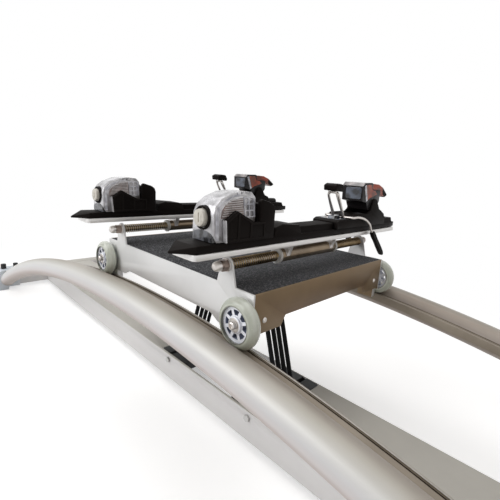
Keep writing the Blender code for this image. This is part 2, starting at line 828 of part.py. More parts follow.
def side_panel(name, side, finish, parent):
    """A left or right sheet between the end panels, with a flange folded in along its foot."""
    top = AXLE_HEIGHT + PANEL_TOP
    reach = CARRIAGE_HALF_Y - SHEET - GAP
    half_outline = [
        (reach, top),
        (reach, AXLE_HEIGHT + SIDE_LEG_BOTTOM),
        (SIDE_LEG_INNER, AXLE_HEIGHT + SIDE_LEG_BOTTOM),
        (SIDE_MID_HALF, AXLE_HEIGHT + SIDE_MID_BOTTOM),
    ]
    outline = half_outline + [(-y, z) for y, z in reversed(half_outline)]
    low, high = sorted((side * (CARRIAGE_HALF_X - SHEET), side * CARRIAGE_HALF_X))
    body = slab(name, "YZ", outline, low, high)
    ends = sorted((side * (CARRIAGE_HALF_X - SHEET - SIDE_FLANGE), side * (CARRIAGE_HALF_X - 0.001)))
    flange = box(
        "flange",
        (ends[0], -SIDE_MID_HALF, AXLE_HEIGHT + SIDE_MID_BOTTOM),
        (ends[1], SIDE_MID_HALF, AXLE_HEIGHT + SIDE_MID_BOTTOM + SHEET),
    )
    return done(fuse(body, flange), finish, parent)


def deck(finish, mat_finish, parent):
    half_x = CARRIAGE_HALF_X - SHEET - GAP
    half_y = CARRIAGE_HALF_Y - SHEET - GAP
    plate = box("deck_plate", (-half_x, -half_y, DECK_Z), (half_x, half_y, DECK_Z + DECK_THICK))
    done(plate, finish, parent)
    mat_z = DECK_Z + DECK_THICK + GAP
    grit = slab(
        "grip_mat",
        "XY",
        rounded_box(-half_x, -half_y, half_x, half_y, 0.003, 1),
        mat_z,
        mat_z + MAT_THICK,
    )
    done(grit, mat_finish, parent)


def hanger(finish, parent):
    """A channel under the deck, whose floor holds the cords' upper turns."""
    top = DECK_Z - GAP
    flange = HANGER_HALF_X + HANGER_FLANGE
    outline = [
        (HANGER_HALF_X, HANGER_Z),
        (HANGER_HALF_X, top - HANGER_WALL),
        (flange, top - HANGER_WALL),
        (flange, top),
        (HANGER_HALF_X - HANGER_WALL, top),
        (HANGER_HALF_X - HANGER_WALL, HANGER_Z + HANGER_PLATE),
    ]
    loop = outline + [(-x, z) for x, z in reversed(outline)]
    body = slab("cord_hanger", "XZ", loop, -HANGER_HALF_Y, HANGER_HALF_Y)
    for side in (-1, 1):
        body = strand_holes(body, side, HANGER_Z + HANGER_PLATE + 0.01, HANGER_Z - 0.01)
    return done(body, finish, parent)


def tread_profile():
    """The tyre's closed section: half an ellipse outside, flat on the hub's rim."""
    half = WHEEL_WIDTH / 2
    base = WHEEL_RADIUS - TREAD_DEPTH
    reach = math.sqrt(1 - ((TYRE_INNER_R - base) / TREAD_DEPTH) ** 2)
    points = []
    for step in range(7):
        share = math.sin(math.radians(-90 + 30 * step)) * reach
        points.append((base + TREAD_DEPTH * math.sqrt(1 - share**2), -share * half))
    return points


def wheel(label, x, side, finishes, parent):
    """Tyre, windowed hub and the fixed axle bolt of one wheel."""
    centre = (x * AXLE_X, side * TRACK_LANE_Y, AXLE_HEIGHT)
    spin = pivot(f"wheel_pivot_{label}", centre, parent)
    tyre = turned(f"wheel_tyre_{label}", tread_profile(), centre, "Y", 24, closed=True)
    done(tyre, finishes["tyre"], spin)

    rim = TYRE_INNER_R - GAP
    window_outer = rim - HUB_RIM
    window_inner = HUB_BOSS_R + 0.0015
    spread = 180 / HUB_WINDOWS * WINDOW_SPAN
    windows = []
    for number in range(HUB_WINDOWS):
        turn = 360 * number / HUB_WINDOWS
        outer = arc(centre[0], centre[2], window_outer, turn - spread, turn + spread, 1)
        inner = arc(centre[0], centre[2], window_inner, turn + spread * 0.8, turn - spread * 0.8, 1)
        windows.append(outer + inner)
    hub = slab(
        f"wheel_hub_{label}",
        "XZ",
        circle(centre[0], centre[2], rim, 24),
        centre[1] - HUB_DISC / 2,
        centre[1] + HUB_DISC / 2,
        windows,
    )
    half = WHEEL_WIDTH / 2
    middle = Vector(centre)
    width = Vector((0.0, half, 0.0))
    boss = rod("boss", middle - width, middle + width, HUB_BOSS_R, 12)
    bore = rod("bore", middle - width * 2, middle + width * 2, AXLE_RADIUS + BORE_GAP, 8)
    done(cut(fuse(hub, boss), bore), finishes["hub"], spin)

    nut = CARRIAGE_HALF_Y - SHEET - GAP - AXLE_HEAD
    wheel_outer = TRACK_LANE_Y + half + GAP
    profile = [
        (0.0, wheel_outer + AXLE_HEAD),
        (AXLE_HEAD_R, wheel_outer + AXLE_HEAD),
        (AXLE_HEAD_R, wheel_outer),
        (AXLE_RADIUS, wheel_outer),
        (AXLE_RADIUS, TRACK_LANE_Y - half - GAP),
        (SPACER_RADIUS, TRACK_LANE_Y - half - GAP),
        (SPACER_RADIUS, CARRIAGE_HALF_Y + GAP),
        (AXLE_RADIUS, CARRIAGE_HALF_Y + GAP),
        (AXLE_RADIUS, nut + AXLE_HEAD),
        (AXLE_HEAD_R, nut + AXLE_HEAD),
        (AXLE_HEAD_R, nut),
        (0.0, nut),
    ]
    bolt = turned(
        f"wheel_axle_{label}",
        [(radius, side * along) for radius, along in profile],
        (x * AXLE_X, 0.0, AXLE_HEIGHT),
        "Y",
        9,
    )
    done(bolt, finishes["steel"], parent)


def shaft(name, x, finish, parent):
    """A ski shaft with washer, nut and domed cap at both ends."""
    washer = CARRIAGE_HALF_Y + GAP
    nut = washer + WASHER_THICK
    cap = nut + NUT_THICK
    acorn = SHAFT_RADIUS + ACORN_RIM
    half = [
        (SHAFT_RADIUS, washer),
        (SHAFT_RADIUS + WASHER_RIM, washer),
        (SHAFT_RADIUS + WASHER_RIM, nut),
        (SHAFT_RADIUS + NUT_RIM, nut),
        (SHAFT_RADIUS + NUT_RIM, cap),
        (acorn, cap),
        (acorn, cap + ACORN_LENGTH * 0.4),
        (acorn * 0.7, cap + ACORN_LENGTH * 0.8),
        (0.0, cap + ACORN_LENGTH),
    ]
    profile = list(reversed(half)) + [(radius, -along) for radius, along in half]
    return done(turned(name, profile, (x, 0.0, SHAFT_Z), "Y", 12), finish, parent)


def spring(name, x, side, finish, parent):
    """A compression spring with closed end curls, from the ear to the slide bush."""
    low = BUSH_HALF + GAP + SPRING_WIRE_R
    high = CARRIAGE_HALF_Y - SHEET - GAP - SPRING_WIRE_R
    open_pitch = (high - low - 2 * SPRING_END_PITCH) / (SPRING_CURLS - 2)
    points = []
    for step in range(SPRING_CURLS * SPRING_POINTS + 1):
        turns = step / SPRING_POINTS
        along = low + SPRING_END_PITCH * min(turns, 1.0)
        along += open_pitch * min(max(turns - 1.0, 0.0), SPRING_CURLS - 2)
        along += SPRING_END_PITCH * max(turns - SPRING_CURLS + 1.0, 0.0)
        angle = 2 * math.pi * turns
        points.append(
            Vector(
                (
                    x + SPRING_MEAN_R * math.cos(angle),
                    side * along,
                    SHAFT_Z + SPRING_MEAN_R * math.sin(angle),
                )
            )
        )
    gap = min(
        (points[i] - points[j]).length
        for i in range(len(points))
        for j in range(i + SPRING_POINTS // 2, len(points))
    )
    print(f"{name}: least gap between curls {1000 * (gap - 2 * SPRING_WIRE_R):.2f} mm")
    return done(tube(name, points, SPRING_WIRE_R), finish, parent)


def bush(name, x, finish, parent):
    """The flanged sleeve that slides on the shaft between the two springs."""
    bore = SHAFT_RADIUS + GAP
    inner = BUSH_HALF - BUSH_FLANGE
    profile = [
        (bore, BUSH_HALF),
        (BUSH_FLANGE_R, BUSH_HALF),
        (BUSH_FLANGE_R, inner),
        (BUSH_SLEEVE_R, inner),
        (BUSH_SLEEVE_R, -inner),
        (BUSH_FLANGE_R, -inner),
        (BUSH_FLANGE_R, -BUSH_HALF),
        (bore, -BUSH_HALF),
    ]
    return done(turned(name, profile, (x, 0.0, SHAFT_Z), "Y", 12, closed=True), finish, parent)


def ski_plate(name, x, finish, parent):
    """The ski's top plate, on two brackets round the hub tube that turns on the bush."""
    bottom = PLATE_Z
    body = slab(
        name,
        "XY",
        rounded_box(x - PLATE_HALF_X, PLATE_FRONT, x + PLATE_HALF_X, PLATE_BACK, PLATE_CORNER, 3),
        bottom,
        bottom + PLATE_THICK,
    )
    reach = BUSH_HALF - BUSH_FLANGE - GAP
    hub = rod("hub", (x, -reach, SHAFT_Z), (x, reach, SHAFT_Z), HUB_TUBE_R, 16)
    for y in (-BRACKET_Y, BRACKET_Y):
        bracket = slab(
            "bracket",
            "XZ",
            [
                (x - BRACKET_HALF, bottom + 0.001),
                (x - HUB_TUBE_R, SHAFT_Z),
                (x - HUB_TUBE_R * 0.7, SHAFT_Z - HUB_TUBE_R * 0.7),
                (x + HUB_TUBE_R * 0.7, SHAFT_Z - HUB_TUBE_R * 0.7),
                (x + HUB_TUBE_R, SHAFT_Z),
                (x + BRACKET_HALF, bottom + 0.001),
            ],
            y - BRACKET_THICK / 2,
            y + BRACKET_THICK / 2,
        )
        hub = fuse(hub, bracket)
    bore = rod(
        "bore", (x, -reach - 0.01, SHAFT_Z), (x, reach + 0.01, SHAFT_Z), BUSH_SLEEVE_R + BORE_GAP, 16
    )
    return done(cut(fuse(body, hub), bore), finish, parent)


def placed(points, centre):
    """Points measured from a pivot, as points of the whole."""
    return [(centre[0] + y, centre[1] + z) for y, z in points]


def tapered(obj, centre, low, high, share):
    """Draws a piece's sides in towards its middle plane as they rise."""
    for vertex in obj.data.vertices:
        rise = min(max((vertex.co.z - low) / (high - low), 0.0), 1.0)
        vertex.co.x = centre + (vertex.co.x - centre) * (1.0 - share * rise)
    return obj


def binding_base(name, x, finish, parent):
    """The pointed base with the toe's slide pad and the raised runner that the heel slides on."""
    tip = -FRONT_REACH
    shoulder = tip + POINT_LENGTH
    half = [
        (BASE_HALF, shoulder),
        (BASE_HALF, TAIL_REACH - TAIL_TAPER),
        (BASE_HALF * 0.7, TAIL_REACH),
    ]
    outline = [(x, tip)] + [(x + u, y) for u, y in half] + [(x - u, y) for u, y in reversed(half)]
    body = slab(name, "XY", outline, BASE_Z, BASE_TOP)
    wedge = slab(
        "wedge",
        "YZ",
        [
            (tip - 0.001, BASE_Z + POINT_THICK),
            (tip - 0.001, BASE_TOP + 0.001),
            (shoulder + 0.006, BASE_TOP + 0.001),
        ],
        x - BASE_HALF - 0.001,
        x + BASE_HALF + 0.001,
    )
    runner = slab(
        "runner",
        "YZ",
        [
            (RUNNER_FRONT - 0.020, BASE_TOP - 0.001),
            (RUNNER_FRONT, RUNNER_TOP),
            (RUNNER_BACK - 0.008, RUNNER_TOP),
            (RUNNER_BACK, BASE_TOP - 0.001),
        ],
        x - RUNNER_HALF,
        x + RUNNER_HALF,
    )
    pad = slab(
        "pad",
        "YZ",
        [
            (PAD_FRONT, BASE_TOP - 0.001),
            (PAD_FRONT + 0.002, BASE_TOP + PAD_RISE * 0.76),
            (PAD_FRONT + 0.020, BASE_TOP + PAD_RISE),
            (PAD_FRONT + PAD_LENGTH - 0.008, BASE_TOP + PAD_RISE * 0.82),
            (PAD_FRONT + PAD_LENGTH, BASE_TOP - 0.001),
        ],
        x - BASE_HALF,
        x + BASE_HALF,
    )
    return done(fuse(cut(body, wedge), runner, pad), finish, parent)


def toe_housing(name, x, finish, parent):
    """The sloping spring housing of the toe, drawn in upwards and ribbed across its back."""
    low = BASE_TOP + GAP
    top = BASE_TOP + TOE_HEIGHT
    outline = [
        (TOE_FRONT + 0.006, low),
        (TOE_FRONT, low + 0.010),
        (TOE_FRONT, top - 0.032),
        (TOE_FRONT + 0.004, top - 0.020),
        (TOE_FRONT + 0.016, top - 0.010),
        (TOE_FRONT + 0.037, top - 0.002),
        (TOE_FRONT + 0.058, top),
        (TOE_BACK - 0.007, top - 0.001),
        (TOE_BACK, top - 0.009),
        (TOE_BACK, low),
    ]
    body = slab(name, "YZ", outline, x - TOE_HALF, x + TOE_HALF)
    body = softened(tapered(body, x, DIAL_Z, top, TOE_TAPER), 0.005)
    for number in range(TOE_RIBS):
        y = TOE_BACK - 0.012 - TOE_RIB_PITCH * number
        groove = box(
            "groove",
            (x - TOE_HALF, y - 0.001, top - TOE_RIB_DEPTH - 0.0015 * number),
            (x + TOE_HALF, y + 0.001, top + 0.002),
        )
        body = cut(body, groove)
    return done(body, finish, parent)


def toe_cup(name, x, finish, parent):
    """The two cheeks, with their high wings, and the wall that hold the boot's toe."""
    low = BASE_TOP + GAP
    cheek = [
        (TOE_FRONT + 0.018, low),
        (TOE_FRONT + 0.015, BASE_TOP + 0.0323),
        (TOE_FRONT + 0.036, BASE_TOP + 0.0463),
        (TOE_BACK - 0.010, BASE_TOP + 0.0283),
        (TOE_BACK + GAP, BASE_TOP + 0.0283),
        (TOE_BACK + GAP, BASE_TOP + WING_RISE - 0.003),
        (TOE_BACK + 0.004, BASE_TOP + WING_RISE),
        (CUP_BACK - 0.011, BASE_TOP + WING_RISE - 0.005),
        (CUP_BACK - 0.003, BASE_TOP + WING_BACK_RISE + 0.008),
        (CUP_BACK, BASE_TOP + WING_BACK_RISE),
        (CUP_BACK, low),
    ]
    inner = TOE_HALF + GAP
    body = box(
        name,
        (x - inner - 0.001, TOE_BACK + GAP, low),
        (x + inner + 0.001, TOE_BACK + GAP + CUP_WALL, BASE_TOP + CUP_WALL_RISE),
    )
    for side in (-1, 1):
        ends = sorted((x + side * inner, x + side * (inner + CHEEK_THICK)))
        body = fuse(body, slab("cheek", "YZ", cheek, *ends))
    return done(body, finish, parent)


def toe_dial(name, x, finish, parent):
    """The round tension dial on the nose, with a screwdriver slot."""
    near = TOE_FRONT - GAP
    far = near - DIAL_THICK
    body = rod(name, (x, near, DIAL_Z), (x, far, DIAL_Z), DIAL_RADIUS, 20, DIAL_RADIUS * 0.9)
    slot = box(
        "slot",
        (x - 0.0012, far - 0.001, DIAL_Z - DIAL_RADIUS * 0.5),
        (x + 0.0012, far + 0.002, DIAL_Z + DIAL_RADIUS * 0.5),
    )
    return done(cut(body, slot), finish, parent)


def heel_housing(name, x, finish, parent):
    """The heel slide: a channel over the runner, the brake's deck in front and two pivot lugs."""
    low = BASE_TOP + GAP
    deck_end = BRAKE_PIVOT[0] + 0.006
    outline = [
        (HEEL_FRONT, low),
        (HEEL_FRONT, BASE_TOP + HEEL_DECK - 0.004),
        (HEEL_FRONT + 0.009, BASE_TOP + HEEL_DECK),
        (deck_end, BASE_TOP + HEEL_DECK),
        (deck_end + 0.006, BASE_TOP + HEEL_BLOCK),
        (HEEL_PIVOT_Y - 0.028, BASE_TOP + HEEL_BLOCK),
        (HEEL_PIVOT_Y - 0.018, BASE_TOP + HEEL_BLOCK + 0.006),
        *arc(*HEEL_PIVOT, HEEL_LUG_R, 170, 20, 5),
        (HEEL_PIVOT_Y + 0.024, BASE_TOP + HEEL_BLOCK + 0.009),
        (HEEL_PIVOT_Y + 0.038, BASE_TOP + HEEL_BLOCK + 0.004),
        (HEEL_PIVOT_Y + 0.044, BASE_TOP + HEEL_BLOCK - 0.004),
        (HEEL_BACK - 0.004, BASE_TOP + HEEL_DECK),
        (HEEL_BACK, low),
    ]
    body = slab(name, "YZ", outline, x - HEEL_HALF, x + HEEL_HALF)
    for back, floor in ((HEEL_PIVOT_Y + HEEL_LUG_R, HEEL_SADDLE), (HEEL_BACK, HEEL_BLOCK + 0.006)):
        slot = box(
            "slot",
            (x - HEEL_HALF + HEEL_LUG, HEEL_FRONT, BASE_TOP + floor),
            (x + HEEL_HALF - HEEL_LUG, back, LEVER_PIVOT[1]),
        )
        body = cut(body, slot)
    pin = rod(
        "pin",
        (x - HEEL_HALF + 0.001, *HEEL_PIVOT),
        (x + HEEL_HALF - 0.001, *HEEL_PIVOT),
        HEEL_PIN_R,
        10,
    )
    screw_z = BASE_TOP + SCREW_RISE
    screw = rod(
        "screw",
        (x, HEEL_BACK - 0.024, screw_z),
        (x, HEEL_PIVOT_Y + SCREW_REACH, screw_z),
        SCREW_RADIUS,
        12,
        SCREW_RADIUS * 0.82,
    )
    channel = box(
        "channel",
        (x - RUNNER_HALF - GAP, HEEL_FRONT - 0.005, low - 0.01),
        (x + RUNNER_HALF + GAP, HEEL_PIVOT_Y + SCREW_REACH + 0.01, RUNNER_TOP + GAP),
    )
    return done(cut(fuse(body, pin, screw), channel), finish, parent)


def heel_cup(name, x, finish, parent):
    """The heel's head, which clamps the boot and tilts on the lugs' pin."""
    seat = arc(LEVER_PIVOT_Y, LEVER_PIVOT_RISE, LEVER_ROUND + GAP, 120, 250, 4)
    outline = [
        (-0.053, 0.007),
        (-0.055, 0.039),
        (-0.048, 0.046),
        (-0.017, 0.047),
        *seat,
        (0.0267, 0.030),
        (0.027, 0.007),
        (0.017, -0.007),
        (0.0, -0.012),
        (-0.023, -0.0125),
        (-0.029, -0.005),
        (-0.034, 0.0035),
    ]
    body = slab(
        name, "YZ", placed(outline, HEEL_PIVOT), x - HEEL_CUP_HALF, x + HEEL_CUP_HALF
    )
    hole = rod(
        "hole",
        (x - HEEL_HALF, *HEEL_PIVOT),
        (x + HEEL_HALF, *HEEL_PIVOT),
        HEEL_PIN_R + BORE_GAP,
        10,
    )
    return done(cut(body, hole), finish, parent)


def heel_lever(name, x, finish, parent):
    """The lever that opens the heel, hinged in a seat across the top of the head."""
    back = 0.0267 - LEVER_PIVOT_Y + GAP
    under = 0.030 - LEVER_PIVOT_RISE + GAP
    outline = [
        *arc(0.0, 0.0, LEVER_ROUND, 90, 250, 5),
        (back, under),
        (back, under - 0.007),
        (0.058, -0.0225),
        (0.067, -0.0195),
        (0.0685, -0.0165),
        (0.047, -0.0015),
        (0.025, 0.0055),
    ]
    body = slab(name, "YZ", placed(outline, LEVER_PIVOT), x - LEVER_HALF, x + LEVER_HALF)
    return done(body, finish, parent)


def arm_route(x):
    """The brake's bent wire, from one arm's tip over its pivot and under the pedal to the other's."""
    near = HEEL_HALF + ARM_WIRE_R + 2 * GAP
    half = [
        (ARM_X, ARM_REACH - 0.008, 0.007 - ARM_DROP),
        (ARM_X, ARM_ELBOW_Y, -ARM_ELBOW_DROP),
        (ARM_X, ARM_ELBOW_Y * 0.88, -ARM_ELBOW_DROP * 0.58),
        (ARM_X - 0.002, ARM_ELBOW_Y * 0.63, -ARM_ELBOW_DROP * 0.17),
        (near, ARM_ELBOW_Y * 0.34, 0.0),
        (near, ARM_WIRE_R * 2.4, 0.0),
        (near - 0.004, 0.0, 0.0),
        (PEDAL_HALF - 0.002, 0.0, 0.0),
        (PEDAL_HALF - 0.0025, -0.004, 0.0055),
        (PEDAL_HALF - 0.003, PEDAL_BACK - 0.012, PEDAL_RISE - 0.009),
        (PEDAL_HALF - 0.005, PEDAL_BACK - 0.0145, PEDAL_RISE - 0.002),
        (PEDAL_HALF - 0.009, PEDAL_BACK - 0.015, PEDAL_RISE),
    ]
    pivot_y, pivot_z = BRAKE_PIVOT
    right = [(x + u, pivot_y + y, pivot_z + z) for u, y, z in half]
    left = [(x - u, pivot_y + y, pivot_z + z) for u, y, z in half]
    return left + right[::-1]


def brake_arms(name, x, finish, parent):
    """The bent wire with a flat moulded tip on each arm."""
    body = tube(name, arm_route(x), ARM_WIRE_R)
    elbow = Vector((ARM_ELBOW_Y, -ARM_ELBOW_DROP))
    end = Vector((ARM_REACH, -ARM_DROP))
    along = (end - elbow).normalized()
    across = Vector((-along.y, along.x))
    near = end - along * ARM_TIP_LENGTH
    shape = (
        (near + across * ARM_TIP_EDGE * 0.75),
        (near + along * 0.012 + across * ARM_TIP_EDGE),
        (end - along * 0.010 + across * ARM_TIP_EDGE),
        (end + across * ARM_TIP_EDGE * 0.35),
        (end - across * ARM_TIP_EDGE * 0.35),
        (end - along * 0.010 - across * ARM_TIP_EDGE),
        (near + along * 0.012 - across * ARM_TIP_EDGE),
        (near - across * ARM_TIP_EDGE * 0.75),
    )
    outline = placed([tuple(point) for point in shape], BRAKE_PIVOT)
    for side in (-1, 1):
        ends = sorted((x + side * (ARM_X - ARM_TIP_HALF), x + side * (ARM_X + ARM_TIP_HALF)))
        body = fuse(body, slab("tip", "YZ", outline, *ends))
    return done(body, finish, parent)


def brake_pedal(name, x, finish, parent):
    low = PEDAL_RISE + ARM_WIRE_R * 0.61 + GAP
    front = PEDAL_BACK - PEDAL_LENGTH
    outline = [
        (front + 0.002, low + 0.002),
        (front, low + PEDAL_THICK * 0.75),
        (front + 0.008, low + PEDAL_THICK),
        (PEDAL_BACK - 0.006, low + PEDAL_THICK * 0.94),
        (PEDAL_BACK, low + PEDAL_THICK * 0.375),
        (PEDAL_BACK - 0.002, low),
    ]
    body = slab(name, "YZ", placed(outline, BRAKE_PIVOT), x - PEDAL_HALF, x + PEDAL_HALF)
    return done(softened(body, 0.0015, 1, 50), finish, parent)


def binding(label, x, finishes, ski):
    binding_base(f"binding_track_{label}", x, finishes["black"], ski)
    toe = pivot(f"toe_pivot_{label}", (x, TOE_PIVOT_Y, BASE_TOP), ski)
    toe_housing(f"toe_housing_{label}", x, finishes["silver"], toe)
    toe_cup(f"toe_cup_{label}", x, finishes["black"], toe)
    dial = pivot(f"dial_pivot_{label}", (x, TOE_FRONT, DIAL_Z), toe)
    toe_dial(f"toe_dial_{label}", x, finishes["cream"], dial)
    slide = pivot(f"heel_slide_{label}", (x, HEEL_FRONT, BASE_TOP), ski)
    heel_housing(f"heel_housing_{label}", x, finishes["black"], slide)
    head = pivot(f"heel_pivot_{label}", (x, *HEEL_PIVOT), slide)
    heel_cup(f"heel_cup_{label}", x, finishes["grey"], head)
    lever = pivot(f"lever_pivot_{label}", (x, *LEVER_PIVOT), head)
    heel_lever(f"heel_lever_{label}", x, finishes["orange"], lever)
    brake = pivot(f"brake_pivot_{label}", (x, *BRAKE_PIVOT), slide)
    brake_arms(f"brake_arms_{label}", x, finishes["steel"], brake)
    brake_pedal(f"brake_pedal_{label}", x, finishes["black"], brake)


def build():
    clear_scene()
    finishes = {
        "champagne": material("champagne_anodised", (0.62, 0.58, 0.52), 0.35, 0.6),
        "grey_paint": material("grey_paint", (0.70, 0.69, 0.67), 0.5),
        "socket": material("socket_plastic", (0.72, 0.77, 0.82), 0.4),
        "sheet": material("silver_sheet", (0.72, 0.72, 0.71), 0.4, 0.4),
        "mat": material("grit_mat", (0.06, 0.06, 0.065), 0.95),
        "steel": material("bright_steel", (0.75, 0.74, 0.72), 0.25, 1.0),
        "spring": material("spring_steel", (0.42, 0.34, 0.22), 0.35, 1.0),
        "tyre": material("clear_tyre", (0.70, 0.76, 0.68), 0.15),
        "hub": material("white_hub", (0.85, 0.86, 0.88), 0.3),
        "white": material("white_nylon", (0.88, 0.88, 0.86), 0.4),
        "plate": material("white_plate", (0.80, 0.79, 0.77), 0.3, 0.3),
        "black": material("black_plastic", (0.02, 0.02, 0.022), 0.4),
        "rubber": material("black_rubber", (0.015, 0.015, 0.015), 0.8),
        "silver": material("silver_plastic", (0.68, 0.68, 0.70), 0.3, 0.2),
        "cream": material("cream_plastic", (0.75, 0.74, 0.66), 0.35),
        "grey": material("dark_grey_plastic", (0.10, 0.10, 0.115), 0.35),
        "orange": material("orange_plastic", (0.55, 0.08, 0.03), 0.4),
    }
    machine = pivot("machine", (0.0, 0.0, 0.0))
    rail("rail_front", -1, finishes["champagne"], machine)
    rail("rail_back", 1, finishes["champagne"], machine)
    spine(finishes["grey_paint"], machine)
    for side, hand in ((-1, "left"), (1, "right")):
        crossbar(f"crossbar_{hand}", side, finishes["grey_paint"], machine)
        anchor_block(f"anchor_block_{hand}", side, finishes["rubber"], machine)
        for face, depth in ((-1, "front"), (1, "back")):
            socket(f"socket_{depth}_{hand}", side, face, finishes["socket"], machine)

    carriage = pivot("carriage_pivot", (0.0, 0.0, ARC_Z), machine)
    end_panel("panel_front", -1, finishes["sheet"], carriage)
    end_panel("panel_back", 1, finishes["sheet"], carriage)
    deck(finishes["sheet"], finishes["mat"], carriage)
    hanger(finishes["sheet"], carriage)
    for side, hand in ((-1, "left"), (1, "right")):
        side_panel(f"panel_{hand}", side, finishes["sheet"], carriage)
        cord = tube(f"cord_{hand}", cord_route(side), CORD_RADIUS)
        done(cord, finishes["rubber"], machine)
        x = side * SHAFT_X
        shaft(f"ski_shaft_{hand}", x, finishes["steel"], carriage)
        for face, depth in ((-1, "front"), (1, "back")):
            label = f"{depth}_{hand}"
            wheel(label, side, face, finishes, carriage)
            spring(f"spring_{label}", x, face, finishes["spring"], carriage)
        slider = pivot(f"bush_slide_{hand}", (x, 0.0, SHAFT_Z), carriage)
        bush(f"slide_bush_{hand}", x, finishes["white"], slider)
        ski = pivot(f"ski_pivot_{hand}", (x, 0.0, SHAFT_Z), slider)
        ski_plate(f"ski_plate_{hand}", x, finishes["plate"], ski)
        binding(hand, x, finishes, ski)
    machine.location.y = CENTRE_Y


build()
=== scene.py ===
"""Looks of the ski simulator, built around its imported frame. Metres, +Z up, the floor at Z 0."""

import contextlib
import json
from math import asin, cos, hypot, pi, radians, sin, sqrt

import bmesh
import bpy
from mathutils import Matrix, Vector


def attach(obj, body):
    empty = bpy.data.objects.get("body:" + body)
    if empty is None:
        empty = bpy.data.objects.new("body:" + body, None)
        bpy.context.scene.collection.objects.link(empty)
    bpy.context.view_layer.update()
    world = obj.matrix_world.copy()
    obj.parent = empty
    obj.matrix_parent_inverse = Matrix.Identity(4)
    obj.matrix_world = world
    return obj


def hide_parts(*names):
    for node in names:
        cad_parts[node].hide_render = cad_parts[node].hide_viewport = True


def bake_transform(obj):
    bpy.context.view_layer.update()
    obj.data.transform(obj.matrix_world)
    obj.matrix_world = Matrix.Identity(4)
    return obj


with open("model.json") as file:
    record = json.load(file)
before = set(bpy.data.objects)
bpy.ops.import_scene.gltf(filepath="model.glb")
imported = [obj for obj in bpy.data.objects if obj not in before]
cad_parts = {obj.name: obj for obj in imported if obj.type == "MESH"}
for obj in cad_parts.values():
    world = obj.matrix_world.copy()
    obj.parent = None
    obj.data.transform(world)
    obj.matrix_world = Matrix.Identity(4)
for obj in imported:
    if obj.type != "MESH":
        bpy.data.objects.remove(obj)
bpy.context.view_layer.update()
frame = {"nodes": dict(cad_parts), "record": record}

RECORD = frame["record"]
BODY_OF = {n: b for b, nodes in RECORD["behaviour"]["bodies"].items() for n in nodes}
SLOT_OF = {entry["node"]: entry["material_slot"] for entry in RECORD["subparts"]}

# The frame's own sizes, which the fitted pieces share
GAP = 0.0003
CENTRE_Y = -0.016
TRACK_RADIUS = 2.8
RAIL_END_HEIGHT = 0.057
RAIL_HALF_LENGTH = 1.15
RAIL_TUBE_R = 0.027
RAIL_TUBE_DROP = 0.0094
WHEEL_RADIUS = 0.04
WHEEL_WIDTH = 0.024
AXLE_X = 0.23
CARRIAGE_HALF_X = 0.243
CARRIAGE_HALF_Y = 0.207
SHEET = 0.003
PANEL_TOP = 0.044
SHAFT_X = 0.18
SHAFT_RADIUS = 0.006
SPINE_TOP = 0.079
SPINE_HALF = 0.1
SOCKET_TOP = 0.084
ARC_Z = RAIL_END_HEIGHT - sqrt(TRACK_RADIUS**2 - RAIL_HALF_LENGTH**2)
AXLE_Z = ARC_Z + sqrt((TRACK_RADIUS + WHEEL_RADIUS + GAP) ** 2 - AXLE_X**2)
TRACK_LANE_Y = CARRIAGE_HALF_Y + 0.0025 + WHEEL_WIDTH / 2
RAIL_WEB_Y = CARRIAGE_HALF_Y + 0.0015
RAIL_TUBE_Y = TRACK_LANE_Y + WHEEL_WIDTH / 2 + RAIL_TUBE_R - 0.007
SHAFT_Z = AXLE_Z + PANEL_TOP + 0.032
BASE_TOP = SHAFT_Z + 0.021 + 0.0087 + GAP + 0.0117
BUSH_HALF = 0.092
HANGER_Z = AXLE_Z + 0.008
HANGER_PLATE = 0.006
TOE_FRONT = -0.256
TOE_HALF = 0.025
TOE_TAPER = 0.24
TOE_HEIGHT = 0.0725
DIAL_RISE = 0.0343
CHEEK_HALF = TOE_HALF + GAP + 0.0075
HEEL_DECK = 0.0183
HEEL_HALF = 0.03
HEEL_CUP_HALF = 0.025
HEEL_PIVOT = (0.205, BASE_TOP + 0.0473)
LEVER_PIVOT = (0.2, BASE_TOP + 0.0858)
LEVER_HALF = HEEL_CUP_HALF - 0.0008
ARM_WIRE_R = 0.0025
BRAKE_PIVOT = (0.104, BASE_TOP + HEEL_DECK + GAP + ARM_WIRE_R)
PEDAL_HALF = 0.015
PEDAL_RISE = 0.05
PEDAL_LENGTH = 0.032
PEDAL_BACK = -0.014
PEDAL_THICK = 0.016
ARM_ELBOW = (0.082, 0.0288)
ARM_END = (0.154, 0.0938)
ARM_TIP_LENGTH = 0.088
ARM_TIP_HALF = 0.0045
ARM_TIP_EDGE = 0.0058
ARM_X = HEEL_HALF + ARM_TIP_HALF + 0.0025
BLOCK_THICK = 0.024
ROD_X = 0.147
ROD_DROP = 0.014
ROD_RADIUS = 0.004
CORD_RADIUS = 0.004

# Sizes of the looks alone
LIP_WIDTH = 0.0028
LIP_RISE = 0.0025
WEB_DEPTH = 0.0136
GROOVE_DEPTH = 0.0016
STRANDS = (-0.025, -0.008, 0.008, 0.025)
CORD_SWELL = 0.0011
SIDE_BOLT = (0.1804, -0.001)
HUB_RADIUS = WHEEL_RADIUS - 0.0122 - 0.0008
HUB_HALF = 0.007
SPOKES = 8
NUT_RADIUS = 0.0099
SPRING_WIRE = 0.0012
SPRING_CURLS = 22
SKIN = 0.0008

HANDS = ((-1, "left"), (1, "right"))
DEPTHS = ((-1, "front"), (1, "back"))
EDGES = ((-1, "inner"), (1, "outer"))


# Materials

FINISH = {}
WHITE = (1, 1, 1, 1)
TRAITS = {
    "colour": "Base Color", "rough": "Roughness", "metal": "Metallic", "specular": "Specular IOR Level",
    "tint": "Specular Tint", "coat": "Coat Weight", "coat_rough": "Coat Roughness",
    "clear": "Transmission Weight", "ior": "IOR",
}


